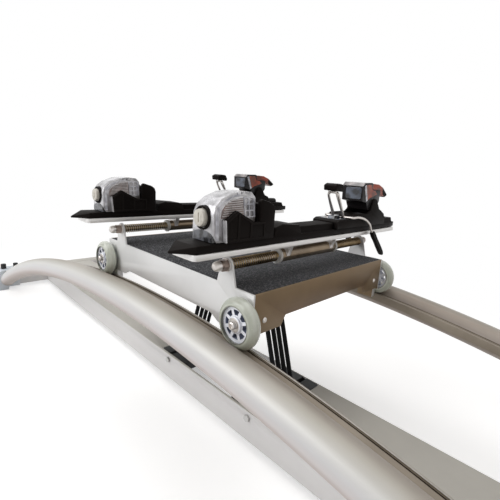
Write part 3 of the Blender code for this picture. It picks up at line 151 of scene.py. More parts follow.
def new_material(finish, **traits):
    """A material that stands in FINISH under its finish."""
    made = bpy.data.materials.new(f"{finish}_look")
    FINISH[finish] = made
    made.use_nodes = True
    shader = made.node_tree.nodes["Principled BSDF"]
    for trait, value in traits.items():
        shader.inputs[TRAITS[trait]].default_value = value
    return made.node_tree, shader


def give(node, inputs):
    """Links each input to a socket, or sets it to a plain value."""
    for key, value in inputs.items():
        if isinstance(value, bpy.types.NodeSocket):
            node.id_data.links.new(value, node.inputs[key])
        else:
            node.inputs[key].default_value = value


def add(tree, kind, inputs=None, **settings):
    node = tree.nodes.new(f"ShaderNode{kind}")
    for key, value in settings.items():
        setattr(node, key, value)
    give(node, inputs or {})
    return node


def maths(operation, first, second=None):
    inputs = {0: first} if second is None else {0: first, 1: second}
    return add(first.id_data, "Math", inputs, operation=operation).outputs[0]


def split(vector):
    return add(vector.id_data, "SeparateXYZ", {0: vector}).outputs


def place_of(tree, kind="Object"):
    return add(tree, "TexCoord").outputs[kind]


def mapped(vector, scale):
    return add(vector.id_data, "Mapping", {"Vector": vector, "Scale": scale}).outputs["Vector"]


def scaled(tree, scale=(1, 1, 1)):
    return mapped(place_of(tree), scale)


def ramp(value, stops):
    node = add(value.id_data, "ValToRGB", {"Fac": value})
    elements = node.color_ramp.elements
    while len(elements) < len(stops):
        elements.new(0.5)
    for element, (place, colour) in zip(elements, stops):
        element.position = place
        element.color = (*colour, 1)
    return node.outputs["Color"]


def noise(vector, scale, detail=4, rough=0.55):
    inputs = {"Vector": vector, "Scale": scale, "Detail": detail, "Roughness": rough}
    return add(vector.id_data, "TexNoise", inputs).outputs["Fac"]


def spread(value, low, high, start=0.3, end=0.7):
    inputs = {"Value": value, "From Min": start, "From Max": end, "To Min": low, "To Max": high}
    return add(value.id_data, "MapRange", inputs).outputs["Result"]


def mixed(share, first, second):
    """A colour socket blended with a plain colour by a share."""
    return add(share.id_data, "Mix", {0: share, 6: first, 7: (*second, 1)}, data_type="RGBA").outputs[2]


def surface(shader, colour, rough, height, strength, distance):
    """Gives the shader its colour, its roughness and a bump from a height."""
    inputs = {"Height": height, "Strength": strength, "Distance": distance}
    normal = add(shader.id_data, "Bump", inputs).outputs["Normal"]
    give(shader, {"Base Color": colour, "Roughness": rough, "Normal": normal})


def textured(
    finish, dark, light, rough, stretch=(1, 1, 1), large=9, fine=700, bump=0.15, depth=0.0002,
    edge=None, span=0.2, detail=4, **traits,
):
    """A surface with soft mottling, fine grain in its gloss and bump, and paler edges as a painted edge
    highlight.
    """
    tree, shader = new_material(finish, **traits)
    mottle = noise(scaled(tree), large, detail)
    grain = noise(scaled(tree, stretch), fine, 3, 0.6)
    colour = ramp(mottle, [(0.5 - span, dark), (0.5 + span, light)])
    # Painted highlight: the paler edge colour is mixed in where the surface is pointed
    if edge is not None:
        point = add(tree, "NewGeometry").outputs["Pointiness"]
        colour = mixed(spread(point, 0, 0.6, 0.52, 0.6), colour, edge)
    sheen = spread(maths("ADD", mottle, grain), rough[0], rough[1], 0.7, 1.3)
    surface(shader, colour, sheen, grain, bump, depth)


def rail_material(finish, dark, painted_light_stops, inner_shade_colour):
    """Anodised tube: lines drawn along the rail, painted highlight and shade by its slope, and a browner
    painted shade on its inner side.
    """
    tree, shader = new_material(finish, metal=0.22, coat=0.05, coat_rough=0.3)
    parts = split(place_of(tree))
    level = add(tree, "CombineXYZ", {0: parts["X"], 1: 0, 2: parts["Z"]}).outputs[0]
    hub = (0, 0, ARC_Z)
    spoke = add(tree, "VectorMath", {0: level, 1: hub}, operation="DISTANCE").outputs["Value"]
    across = maths("SUBTRACT", spoke, TRACK_RADIUS)
    along = add(tree, "CombineXYZ", {0: parts["X"], 1: parts["Y"], 2: across}).outputs[0]
    lines = noise(mapped(along, (1.5, 420, 420)), 1, 4, 0.6)
    mottle = noise(scaled(tree), 6)
    facing = split(add(tree, "NewGeometry").outputs["Normal"])
    # Painted highlight and shade: colour by the normal's slope, dark below, bright in the middle, darker on
    # top
    sheen = ramp(spread(facing["Z"], 0, 1, -1, 1), painted_light_stops)
    # Painted shade: faces turned towards the other rail blend into a browner shade colour
    hand = maths("SIGN", maths("SUBTRACT", parts["Y"], CENTRE_Y))
    inner = spread(maths("MULTIPLY", facing["Y"], hand), 0, 0.85, 0.45, -0.55)
    colour = mixed(spread(mottle, 0, 0.3), mixed(inner, sheen, inner_shade_colour), dark)
    surface(shader, colour, spread(lines, 0.42, 0.56), lines, 0.1, 0.0002)


def grit_material(finish):
    """Coarse dark grit with pale specks, as on a skateboard's tape."""
    tree, shader = new_material(finish, specular=0.35)
    place = scaled(tree)
    cells = add(tree, "TexVoronoi", {"Vector": place, "Scale": 520}).outputs["Color"]
    specks = ramp(cells, [(0.55, (0, 0, 0)), (0.95, (1, 1, 1))])
    greys = [(0.3, (0.02, 0.0205, 0.0225)), (0.7, (0.042, 0.043, 0.047))]
    colour = mixed(specks, ramp(noise(place, 14), greys), (0.17, 0.17, 0.18))
    surface(shader, colour, 0.92, noise(place, 900, 6, 0.7), 0.9, 0.0008)


def braid_material(finish):
    """A black woven sheath: two sets of yarns that cross round the cord."""
    tree, shader = new_material(finish, specular=0.15)
    parts = split(place_of(tree, "UV"))
    waves = []
    for turns in (8, -8):
        around = maths("MULTIPLY", parts["X"], turns)
        along = maths("MULTIPLY", parts["Y"], 260)
        angle = maths("MULTIPLY", maths("ADD", around, along), 2 * pi)
        waves.append(maths("SINE", angle))
    weave = maths("MAXIMUM", *waves)
    shade = spread(weave, 0, 1, -1, 1)
    colour = ramp(shade, [(0.2, (0.003, 0.003, 0.0035)), (0.9, (0.015, 0.015, 0.017))])
    surface(shader, colour, 0.75, weave, 0.6, 0.0004)


def urethane_material(finish):
    """Clear cast urethane, faintly green, with painted shade next to the hub and painted highlight rings,
    with dust and streaks.
    """
    tree, shader = new_material(finish, clear=0.22, ior=1.49, coat=0.4, coat_rough=0.12)
    place = scaled(tree)
    mottle = noise(place, 60)
    reach = split(place_of(tree, "UV"))["Y"]
    depth = maths("ADD", reach, maths("MULTIPLY", mottle, 0.003))
    # Painted light by radius: painted shade next to the hub, a painted highlight ring just outside it, a
    # duller middle and a bright painted outer ring
    stops = [
        (0, (0.09, 0.09, 0.07)), (0.09, (0.24, 0.25, 0.2)), (0.2, (0.68, 0.71, 0.61)),
        (0.44, (0.5, 0.53, 0.44)), (0.7, (0.62, 0.65, 0.55)), (0.92, (0.86, 0.9, 0.8)),
    ]
    rings = ramp(spread(depth, 0, 1, 0.029, 0.0415), stops)
    colour = mixed(spread(mottle, 0, 0.25), rings, (0.74, 0.76, 0.68))
    dust = spread(noise(place, 420, 5), 0.1, 0.28)
    surface(shader, colour, dust, mottle, 0.15, 0.0006)


BLURRED = {"fine": 900, "span": 0.12, "detail": 0.7}
rail_material(
    "rail_metal", (0.6, 0.56, 0.53),
    # painted light by slope, from the underside up: dark brown, bright middle, darker top
    [
        (0.04, (0.28, 0.225, 0.195)), (0.26, (0.46, 0.39, 0.36)), (0.44, (0.645, 0.61, 0.61)),
        (0.62, (0.64, 0.64, 0.65)), (0.8, (0.62, 0.62, 0.6)), (0.98, (0.4, 0.38, 0.33)),
    ],
    # the browner painted shade of the rails' inner sides
    (0.265, 0.21, 0.165),
)
# Painted shade: the lane between lip and tube is coloured a darker brown than the tube
textured(
    "rail_lane_shade", (0.21, 0.175, 0.135), (0.32, 0.275, 0.22), (0.38, 0.52), stretch=(1.5, 300, 300),
    fine=1, bump=0.1, metal=0.5,
)
# Painted shade: the grooves are coloured near black for the shade inside them
textured("rail_groove_shade", (0.04, 0.03, 0.022), (0.075, 0.058, 0.044), (0.5, 0.7), specular=0.2)
textured(
    "frame_paint", (0.7, 0.685, 0.685), (0.77, 0.755, 0.755), (0.42, 0.56), large=5, fine=260, bump=0.12,
    depth=0.0003, edge=(0.8, 0.79, 0.78),
)
# Painted shade: a darker, browner copy of the frame paint for upward faces
textured(
    "frame_top_shade", (0.46, 0.44, 0.4), (0.56, 0.54, 0.49), (0.48, 0.62), large=5, fine=260, bump=0.12,
    depth=0.0003,
)
textured(
    "socket_plastic", (0.6, 0.66, 0.72), (0.7, 0.75, 0.8), (0.32, 0.45), fine=900, bump=0.1,
    edge=(0.8, 0.84, 0.88),
)
textured("anchor_rubber", (0.01, 0.01, 0.011), (0.024, 0.024, 0.025), (0.6, 0.8), fine=500, bump=0.3)
braid_material("cord_elastic")
textured(
    "panel_sheet", (0.72, 0.72, 0.72), (0.79, 0.79, 0.79), (0.36, 0.48), stretch=(1, 1, 60), fine=20,
    bump=0.05, edge=(0.88, 0.88, 0.88), metal=0.2,
)
# Painted shade: the panels' silver sheet coloured dark brown, as it looks in warm shade
textured(
    "panel_painted_shade", (0.07, 0.038, 0.016), (0.2, 0.122, 0.062), (0.4, 0.54), stretch=(1, 1, 60),
    large=6, fine=20, bump=0.05, edge=(0.46, 0.35, 0.22), metal=0.45, specular=0.2,
)
grit_material("grit")
textured(
    "bright_steel", (0.58, 0.54, 0.51), (0.74, 0.71, 0.68), (0.28, 0.42), fine=500, bump=0.05, metal=0.9,
)
# Painted shade: a dark brown copy of the steel for the nuts' flats and necks
textured("nut_steel", (0.16, 0.12, 0.1), (0.38, 0.31, 0.27), (0.26, 0.4), fine=500, bump=0.05, metal=0.9)
textured(
    "bolt_steel", (0.34, 0.33, 0.32), (0.56, 0.55, 0.53), (0.3, 0.44), large=90, fine=500, bump=0.08,
    edge=(0.72, 0.71, 0.7), metal=0.9,
)
textured(
    "spring_steel", (0.17, 0.115, 0.06), (0.38, 0.285, 0.165), (0.25, 0.42), large=40, fine=600,
    bump=0.1, metal=1,
)
urethane_material("tyre_urethane")
textured(
    "hub_plastic", (0.82, 0.84, 0.92), (0.9, 0.92, 0.98), (0.2, 0.32), fine=400, bump=0.06, specular=1,
    coat=0.6, coat_rough=0.1,
)
textured("hub_shade", (0.12, 0.14, 0.2), (0.34, 0.38, 0.5), (0.15, 0.3), large=60, fine=400, bump=0.06)
textured("white_nylon", (0.78, 0.78, 0.76), (0.86, 0.86, 0.84), (0.35, 0.5), fine=600, bump=0.1)
textured(
    "plate_metal", (0.76, 0.735, 0.72), (0.86, 0.845, 0.83), (0.28, 0.4), stretch=(60, 1, 60),
    fine=8, bump=0.04, edge=(0.88, 0.88, 0.87), metal=0.5,
)
# Painted shade: a dark brown copy of the plate metal for the tube under the plate
textured(
    "plate_tube_shade", (0.15, 0.105, 0.062), (0.33, 0.255, 0.175), (0.24, 0.38), stretch=(60, 1, 60),
    large=12, fine=8, bump=0.04, edge=(0.58, 0.53, 0.46), metal=0.7,
)
textured(
    "binding_black", (0.0036, 0.0028, 0.0026), (0.008, 0.0064, 0.006), (0.46, 0.64), large=30,
    fine=1100, bump=0.22, edge=(0.026, 0.023, 0.022), specular=0.055, tint=(1, 0.84, 0.76, 1),
)
textured(
    "binding_silver", (0.15, 0.142, 0.148), (0.72, 0.715, 0.75), (0.18, 0.32), large=48, fine=900,
    bump=0.06, edge=(0.88, 0.88, 0.9), span=0.15, detail=1.5, metal=0.25, coat=0.5, coat_rough=0.12,
)
textured(
    "toe_white", (0.5, 0.51, 0.58), (0.88, 0.89, 0.96), (0.2, 0.32), large=90, bump=0.06,
    coat=0.5, coat_rough=0.1, **BLURRED,
)
textured(
    "toe_mauve", (0.085, 0.058, 0.056), (0.33, 0.235, 0.215), (0.28, 0.42), large=70, bump=0.08,
    edge=(0.6, 0.5, 0.48), **BLURRED,
)
textured(
    "rib_silver", (0.3, 0.27, 0.27), (0.62, 0.58, 0.58), (0.24, 0.38), large=60, bump=0.06,
    edge=(0.8, 0.78, 0.78), metal=0.2, **BLURRED,
)
textured(
    "slate", (0.008, 0.01, 0.016), (0.095, 0.115, 0.16), (0.12, 0.26), large=70, fine=600, bump=0.03,
    span=0.13, detail=0.7, coat=0.5, coat_rough=0.08,
)
textured(
    "apron_gloss", (0.006, 0.006, 0.008), (0.13, 0.135, 0.155), (0.12, 0.24), large=90, fine=600,
    bump=0.03, span=0.09, detail=0.7, coat=0.4, coat_rough=0.1,
)
textured(
    "dial_cream", (0.5, 0.46, 0.4), (0.72, 0.69, 0.62), (0.35, 0.5), large=110, fine=800, bump=0.12,
    edge=(0.84, 0.82, 0.76),
)
textured(
    "binding_grey", (0.006, 0.005, 0.006), (0.014, 0.012, 0.013), (0.3, 0.44), large=30, fine=900,
    bump=0.1, edge=(0.07, 0.065, 0.065), specular=0.18,
)
# Painted highlight: a lighter copy of the heel head's dark grey for its upward faces
textured(
    "head_top_highlight", (0.055, 0.048, 0.048), (0.31, 0.275, 0.275), (0.16, 0.3), large=50, bump=0.05,
    edge=(0.5, 0.47, 0.47), coat=0.7, coat_rough=0.12, **BLURRED,
)
textured(
    "lever_orange", (0.06, 0.007, 0.005), (0.46, 0.062, 0.03), (0.3, 0.44), large=55, bump=0.1,
    edge=(0.74, 0.3, 0.2), specular=0.3, **BLURRED,
)


# Geometry

def linked(name, data):
    obj = bpy.data.objects.new(name, data)
    bpy.context.scene.collection.objects.link(obj)
    return obj


@contextlib.contextmanager
def editing(mesh):
    """Opens a mesh for changes, which go back into it at the end."""
    bm = bmesh.new()
    bm.from_mesh(mesh)
    yield bm
    bm.to_mesh(mesh)
    bm.free()


def from_data(name, points, faces, finish):
    mesh = bpy.data.meshes.new(name)
    mesh.from_pydata([tuple(point) for point in points], [], faces)
    mesh.materials.append(FINISH[finish])
    return linked(name, mesh)


def outward(mesh, sharp=35):
    with editing(mesh) as bm:
        bmesh.ops.recalc_face_normals(bm, faces=bm.faces)
    mesh.shade_smooth()
    mesh.set_sharp_from_angle(angle=radians(sharp))


def at(x, y, z):
    """A point given from the carriage's centre plane, in the frame."""
    return Vector((x, y + CENTRE_Y, z))


def mm(*points):
    """Points written in millimetres, in metres."""
    return [tuple(value / 1000 for value in point) for point in points]


def arc(a, b, radius, start, end, steps):
    """Points on a circle from one angle to the other, both ends with them."""
    angles = [start + (end - start) * step / steps for step in range(steps + 1)]
    return [(a + radius * cos(angle), b + radius * sin(angle)) for angle in angles]


def circle(a, b, radius, sides=24):
    return arc(a, b, radius, 0, 2 * pi, sides)[:-1]


def swept_faces(rings, count):
    """The quads between rings of points that follow one another."""
    faces = []
    for here in range(0, (rings - 1) * count, count):
        for number in range(count):
            after = (number + 1) % count
            faces.append((here + number, here + after, here + count + after, here + count + number))
    return faces


TURNS = {
    "X": Matrix.Rotation(radians(90), 3, "Y"),
    "Y": Matrix.Rotation(radians(-90), 3, "X"),
}


def lathe(name, profile, centre, finish, steps=48, closed=False, axis="Y", side=1):
    """(radius, height) points turned about an axis, heights to one side of the centre.

    The UVs hold height and radius."""
    turn = TURNS[axis]
    points = []
    faces = []
    count = len(profile)
    for step, (c, s) in enumerate(circle(0, 0, 1, steps)):
        here = step * count
        there = (step + 1) % steps * count
        for radius, height in profile:
            points.append(centre + turn @ Vector((radius * c, radius * s, height * side)))
        for number in range(count if closed else count - 1):
            after = (number + 1) % count
            faces.append((here + number, there + number, there + after, here + after))
    obj = from_data(name, points, faces, finish)
    with editing(obj.data) as bm:
        bmesh.ops.remove_doubles(bm, verts=bm.verts, dist=0.0000005)
    outward(obj.data)
    back = turn.inverted()
    layer = obj.data.uv_layers.new(name="UVMap")
    for number, loop in enumerate(obj.data.loops):
        local = back @ (obj.data.vertices[loop.vertex_index].co - centre)
        layer.data[number].uv = (local.z, hypot(local.x, local.y))
    return obj


def wire(name, points, radius, finish, sides=12):
    """A round wire or cord along its points, with UVs that run round it and along it.

    The radius is one number, or a rule that gives it for each point."""
    points = [Vector(point) for point in points]
    last = len(points) - 1
    tangents = [
        (points[min(number + 1, last)] - points[max(number - 1, 0)]).normalized()
        for number in range(last + 1)
    ]
    side = tangents[0].orthogonal().normalized()
    rings = []
    lengths = [0]
    for number, (point, tangent) in enumerate(zip(points, tangents)):
        side = (side - tangent * side.dot(tangent)).normalized()
        other = tangent.cross(side)
        if number:
            lengths.append(lengths[-1] + (point - points[number - 1]).length)
        reach = radius(point) if callable(radius) else radius
        rings += [point + (side * c + other * s) * reach for c, s in circle(0, 0, 1, sides)]
    faces = swept_faces(last + 1, sides)
    faces.append(tuple(reversed(range(sides))))
    faces.append(tuple(range(last * sides, (last + 1) * sides)))
    obj = from_data(name, rings, faces, finish)
    layer = obj.data.uv_layers.new(name="UVMap")
    for face in obj.data.polygons:
        closing = len(face.vertices) == 4 and {0, sides - 1} <= {v % sides for v in face.vertices}
        for loop in face.loop_indices:
            vertex = obj.data.loops[loop].vertex_index
            around = vertex % sides
            if closing and around == 0:
                around = sides
            layer.data[loop].uv = (around / sides, lengths[vertex // sides])
    outward(obj.data, 50)
    return obj


PLANES = {
    "XY": Matrix.Identity(4),
    "XZ": Matrix(((1, 0, 0, 0), (0, 0, -1, 0), (0, 1, 0, 0), (0, 0, 0, 1))),
    "YZ": Matrix(((0, 0, 1, 0), (1, 0, 0, 0), (0, 1, 0, 0), (0, 0, 0, 1))),
}


def slab(name, plane, outline, low, high, finish, holes=()):
    """A flat outline in a plane, from low to high along its normal. Y counts from CENTRE_Y."""
    curve = bpy.data.curves.new(name, "CURVE")
    curve.dimensions = "2D"
    curve.fill_mode = "BOTH"
    curve.extrude = (high - low) / 2
    for loop in (outline, *holes):
        spline = curve.splines.new("POLY")
        spline.points.add(len(loop) - 1)
        for point, (across, up) in zip(spline.points, loop):
            point.co = (across, up, 0, 1)
        spline.use_cyclic_u = True
    helper = linked(name, curve)
    graph = bpy.context.evaluated_depsgraph_get()
    bpy.context.view_layer.update()
    mesh = bpy.data.meshes.new_from_object(helper.evaluated_get(graph))
    bpy.data.objects.remove(helper, do_unlink=True)
    bpy.data.curves.remove(curve)
    middle = (low + high) / 2
    lift = Matrix.Translation((0, 0, -middle if plane == "XZ" else middle))
    mesh.transform(Matrix.Translation((0, CENTRE_Y, 0)) @ PLANES[plane] @ lift)
    mesh.materials.clear()
    mesh.materials.append(FINISH[finish])
    return welded(linked(name, mesh))


def welded(obj):
    """Joins coincident points and makes flat faces whole, so that bevels run cleanly."""
    with editing(obj.data) as bm:
        bmesh.ops.remove_doubles(bm, verts=bm.verts, dist=0.000002)
        bmesh.ops.dissolve_limit(
            bm, angle_limit=radians(0.5), verts=bm.verts, edges=bm.edges, delimit={"MATERIAL"}
        )
        bmesh.ops.recalc_face_normals(bm, faces=bm.faces)
    obj.data.shade_smooth()
    return obj


def rounded(obj, width, segments=2, angle=35):
    bevel = obj.modifiers.new("Edges", "BEVEL")
    bevel.width = width
    bevel.segments = segments
    bevel.limit_method = "ANGLE"
    bevel.angle_limit = radians(angle)
    bevel.miter_outer = "MITER_ARC"
    bevel.harden_normals = True
    return obj


def settle(obj, body, slot, *nodes):
    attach(obj, body)
    if nodes:
        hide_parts(*nodes)


def painted(obj, slot, paint):
    """Gives each face the finish that the paint rule picks for its middle and normal, if any."""
    names = [slot]
    for face in obj.data.polygons:
        choice = paint(face.center, face.normal)
        if choice is None:
            continue
        if choice not in names:
            names.append(choice)
            obj.data.materials.append(FINISH[choice])
        face.material_index = names.index(choice)


def refined(node, width, segments=2, angle=35, paint=None):
    """A copy of a CAD piece with its edges rounded, which stands for it. Paint picks a face's finish."""
    mesh = frame["nodes"][node].data.copy()
    mesh.name = f"{node}_look"
    slot = SLOT_OF[node]
    mesh.materials.clear()
    mesh.materials.append(FINISH[slot])
    obj = linked(f"{node}_look", mesh)
    for face in mesh.polygons:
        face.material_index = 0
    if paint is not None:
        painted(obj, slot, paint)
    settle(rounded(welded(obj), width, segments, angle), BODY_OF[node], slot, node)


# Rails

def rail_outline():
    """The rail's section as (y, rise, finish) points, with a rounded lip and two grooves in the lane.

    The finish is 0 for the drawn tube, 1 for the lane and 2 for a groove."""
    outer = RAIL_WEB_Y + LIP_WIDTH
    low = LIP_RISE - 0.0002
    lower = LIP_RISE - 0.0008
    tube_edge = RAIL_TUBE_Y - sqrt(RAIL_TUBE_R**2 - RAIL_TUBE_DROP**2)
    points = [
        (RAIL_WEB_Y, -WEB_DEPTH, 1), (RAIL_WEB_Y, lower, 1), (RAIL_WEB_Y + 0.0003, low, 0),
        (RAIL_WEB_Y + 0.001, LIP_RISE, 0), (outer - 0.001, LIP_RISE, 0), (outer - 0.0003, low, 0),
        (outer, lower, 1), (outer, 0, 1),
    ]
    for centre in (outer + 0.0021, tube_edge - 0.0019):
        points += [
            (centre - 0.0011, 0, 2), (centre - 0.0008, -GROOVE_DEPTH, 2),
            (centre + 0.0008, -GROOVE_DEPTH, 2), (centre + 0.0011, 0, 1),
        ]
    start = pi - asin(RAIL_TUBE_DROP / RAIL_TUBE_R)
    end = -pi - asin((RAIL_TUBE_DROP - 0.004) / RAIL_TUBE_R)
    tube = arc(RAIL_TUBE_Y, -RAIL_TUBE_DROP, RAIL_TUBE_R, start, end, 52)
    return points + [(y, rise, 0) for y, rise in tube] + [(outer, -0.004, 1), (outer, -WEB_DEPTH, 1)]


def rail_look(side, depth):
    outline = rail_outline()
    steps = 120
    count = len(outline)
    points = []
    for step in range(steps + 1):
        x = (-1 + 2 * step / steps) * RAIL_HALF_LENGTH
        for y, rise, _ in outline:
            points.append(at(x, side * y, ARC_Z + sqrt((TRACK_RADIUS + rise) ** 2 - x**2)))
    faces = swept_faces(steps + 1, count)
    faces.append(tuple(range(count)))
    faces.append(tuple(reversed(range(steps * count, (steps + 1) * count))))
    node = f"rail_{depth}"
    obj = from_data(f"{node}_look", points, faces, "rail_metal")
    obj.data.materials.append(FINISH["rail_lane_shade"])
    obj.data.materials.append(FINISH["rail_groove_shade"])
    for number, face in enumerate(obj.data.polygons):
        if number < steps * count:
            face.material_index = outline[number % count][2]
    outward(obj.data, 28)
    settle(obj, "base", "rail_metal", node)


for way, depth in DEPTHS:
    rail_look(way, depth)


# Base

def socket_paint(centre, normal):
    above = centre.z > SOCKET_TOP + 0.0004
    return "anchor_rubber" if above or (centre.z < 0.0005 and normal.z < -0.9) else None


def block_paint(centre, normal):
    """The hex heads outside the spine, and the rod where it crosses the slot."""
    head = abs(centre.y - CENTRE_Y) > SPINE_HALF + 0.0001
    in_slot = abs(abs(centre.x) - ROD_X) < ROD_RADIUS * 0.98
    rod = in_slot and SPINE_TOP - ROD_DROP + 0.0002 < centre.z < SPINE_TOP - 0.002 and abs(normal.y) < 0.5
    return "bolt_steel" if head or rod else None


# Painted shade: the top faces of the spine and crossbars get the darker, browner top shade colour
def top_shade_paint(centre, normal):
    return "frame_top_shade" if normal.z > 0.9 and centre.z > SPINE_TOP - 0.001 else None


refined("base_spine", 0.0012, paint=top_shade_paint)
for side, hand in HANDS:
    refined(f"crossbar_{hand}", 0.0012, paint=top_shade_paint)
    refined(f"anchor_block_{hand}", 0.0008, paint=block_paint)
    for way, depth in DEPTHS:
        refined(f"socket_{depth}_{hand}", 0.0016, 3, paint=socket_paint)


# Cords

def strand_place(side, y, z):
    top = Vector((side * 0.082, 0, HANGER_Z + HANGER_PLATE / 2))
    foot = Vector((side * 0.163, 0, SPINE_TOP))
    down = (foot - top).normalized()
    place = top + down * ((z - top.z) / down.z)
    return Vector((place.x, y, z)), down


def cord_route(side):
    """One cord laced through hanger and block: four strands with round turns between them."""
    high = HANGER_Z + HANGER_PLATE + 0.004
    low = SPINE_TOP - BLOCK_THICK - 0.004
    points = [strand_place(side, STRANDS[0], high + 0.004)[0]]
    for number, y in enumerate(STRANDS):
        first, last = (high, low) if number % 2 == 0 else (low, high)
        for share in range(41):
            points.append(strand_place(side, y, first + (last - first) * share / 40)[0])
        if number == len(STRANDS) - 1:
            break
        reach = (STRANDS[number + 1] - y) / 2
        turn, down = strand_place(side, y + reach, last)
        out = down if last == low else -down
        for step in range(1, 8):
            angle = pi * step / 8
            across = Vector((0, -reach * cos(angle), 0))
            points.append(turn + across + out * reach * sin(angle))
    points.append(strand_place(side, STRANDS[-1], high + 0.004)[0])
    return [at(*point) for point in points]


def cord_radius(point):
    """Fuller between the block and the hanger than inside their holes."""
    free = min(point.z - SPINE_TOP, HANGER_Z - point.z)
    return CORD_RADIUS + CORD_SWELL * min(max((free - 0.002) / 0.01, 0), 1)


for side, hand in HANDS:
    cord = wire(f"cord_{hand}_look", cord_route(side), cord_radius, "cord_elastic", 16)
    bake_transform(cord)
    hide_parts(f"cord_{hand}")


# Carriage

def panel_shade_paint(side):
    """Painted shade: the back of a front or rear panel, under the deck, is coloured the same dark brown as
    the sides.
    """

    def pick(centre, normal):
        return "panel_painted_shade" if normal.y * side < -0.5 and centre.z < AXLE_Z + 0.03 else None

    return pick


def side_bolt(side, hand, way, depth):
    """A low round bolt head with a round socket, on a side panel."""
    profile = mm((0, 1.2), (1.9, 1.2), (1.9, 1.9), (3.4, 1.7), (4.4, 0.8), (4.6, 0), (4.6, -0.4), (0, -0.4))
    place = at(side * CARRIAGE_HALF_X, way * SIDE_BOLT[0], AXLE_Z + SIDE_BOLT[1])
    bolt = lathe(f"panel_bolt_{depth}_{hand}_0", profile, place, "bright_steel", 28, axis="X", side=side)
    settle(bolt, "carriage", "bright_steel")


for way, depth in DEPTHS:
    refined(f"panel_{depth}", 0.0007, paint=panel_shade_paint(way))
for side, hand in HANDS:
    # Painted shade: both side panels are coloured all over in the dark brown shade
    refined(f"panel_{hand}", 0.0007, paint=lambda centre, normal: "panel_painted_shade")
    for way, depth in DEPTHS:
        side_bolt(side, hand, way, depth)
refined("deck_plate", 0.0006, 1)
refined("grip_mat", 0.0008)
refined("cord_hanger", 0.0008)


# Wheels

def tyre_profile():
    half = WHEEL_WIDTH / 2
    inner = HUB_RADIUS + SKIN
    tread = 0.014
    base = WHEEL_RADIUS - tread
    reach = asin(sqrt(1 - ((inner - base) / tread) ** 2))
    points = [(base + tread * c, half * s) for c, s in arc(0, 0, 1, -reach, reach, 22)]
    edge = points[-1][1]
    return points + [(inner - 0.0003, edge - 0.0006), (inner - 0.0003, -edge + 0.0006)]


def both_faces(half):
    """A ring's profile that is the same on both faces, from its points on the outer one."""
    return [(radius, -height) for radius, height in half] + list(reversed(half))


def wheel_look(x, side, label):
    body = f"wheel_{label}"
    cx, cy = x * AXLE_X, side * TRACK_LANE_Y
    centre = at(cx, cy, AXLE_Z)
    tyre = lathe(f"tyre_{label}_look", tyre_profile(), centre, "tyre_urethane", 72, closed=True)
    settle(tyre, body, "tyre_urethane", f"wheel_tyre_{label}")

    windows = []
    for number in range(SPOKES):
        turn = 2 * pi * number / SPOKES
        rim_side = arc(cx, AXLE_Z, HUB_RADIUS - 0.0044, turn - 0.275, turn + 0.275, 8)
        windows.append(rim_side + arc(cx, AXLE_Z, 0.0146, turn + 0.195, turn - 0.195, 4))
    outline = circle(cx, AXLE_Z, HUB_RADIUS, 64)
    hub = slab(f"hub_{label}_look", "XZ", outline, cy - HUB_HALF, cy + HUB_HALF, "hub_plastic", windows)
    rounded(hub, 0.0006)

    def window_paint(middle, normal):
        inside = hypot(middle.x - centre.x, middle.z - centre.z) < HUB_RADIUS - 0.0015
        return "hub_shade" if inside and abs(normal.y) < 0.5 else None

    painted(hub, "hub_plastic", window_paint)
    settle(hub, body, "hub_plastic", f"wheel_hub_{label}")
    collar = both_faces(mm((11, 10.8), (12.8, 9.8), (13.1, 6.8)))
    race = both_faces(mm((4.8, 10.4), (5.8, 10.6), (6.2, 10), (9, 10), (9.4, 10.6), (10.8, 10.4)))
    lip = mm((0.4, 7.4), (1.2, 8), (1.8, 7.4))
    bead = both_faces([(HUB_RADIUS + proud, height) for proud, height in lip])
    for name, profile, slot, steps in (
        ("hub_collar", collar, "hub_plastic", 48),
        ("bearing", race, "bright_steel", 48),
        ("hub_bead", bead, "hub_plastic", 64),
    ):
        settle(lathe(f"{name}_{label}", profile, centre, slot, steps, closed=True), body, slot)

    outer = TRACK_LANE_Y + WHEEL_WIDTH / 2 + GAP
    inner = TRACK_LANE_Y - WHEEL_WIDTH / 2 - GAP
    sheet = CARRIAGE_HALF_Y - SHEET
    profile = [
        (0, outer + 0.0022), (0.003, outer + 0.0022), (0.0034, outer + 0.0048), (0.0046, outer + 0.005),
        (0.006, outer + 0.004), (0.0065, outer + 0.0022), (0.0065, outer), (0.004, outer),
        (0.004, inner), (0.007, inner), (0.007, CARRIAGE_HALF_Y + GAP), (0.004, CARRIAGE_HALF_Y + GAP),
        (0.004, sheet - GAP), (0.0062, sheet - GAP), (0.0065, sheet - 0.001), (0.0065, sheet - 0.0048),
        (0.0058, sheet - GAP - 0.005), (0, sheet - GAP - 0.005),
    ]
    bolt = lathe(f"axle_{label}_look", profile, at(cx, 0, AXLE_Z), "bright_steel", 36, side=side)
    settle(bolt, "carriage", "bright_steel", f"wheel_axle_{label}")


for side, hand in HANDS:
    for way, depth in DEPTHS:
        wheel_look(side, way, f"{depth}_{hand}")


# Shafts, springs and bushes

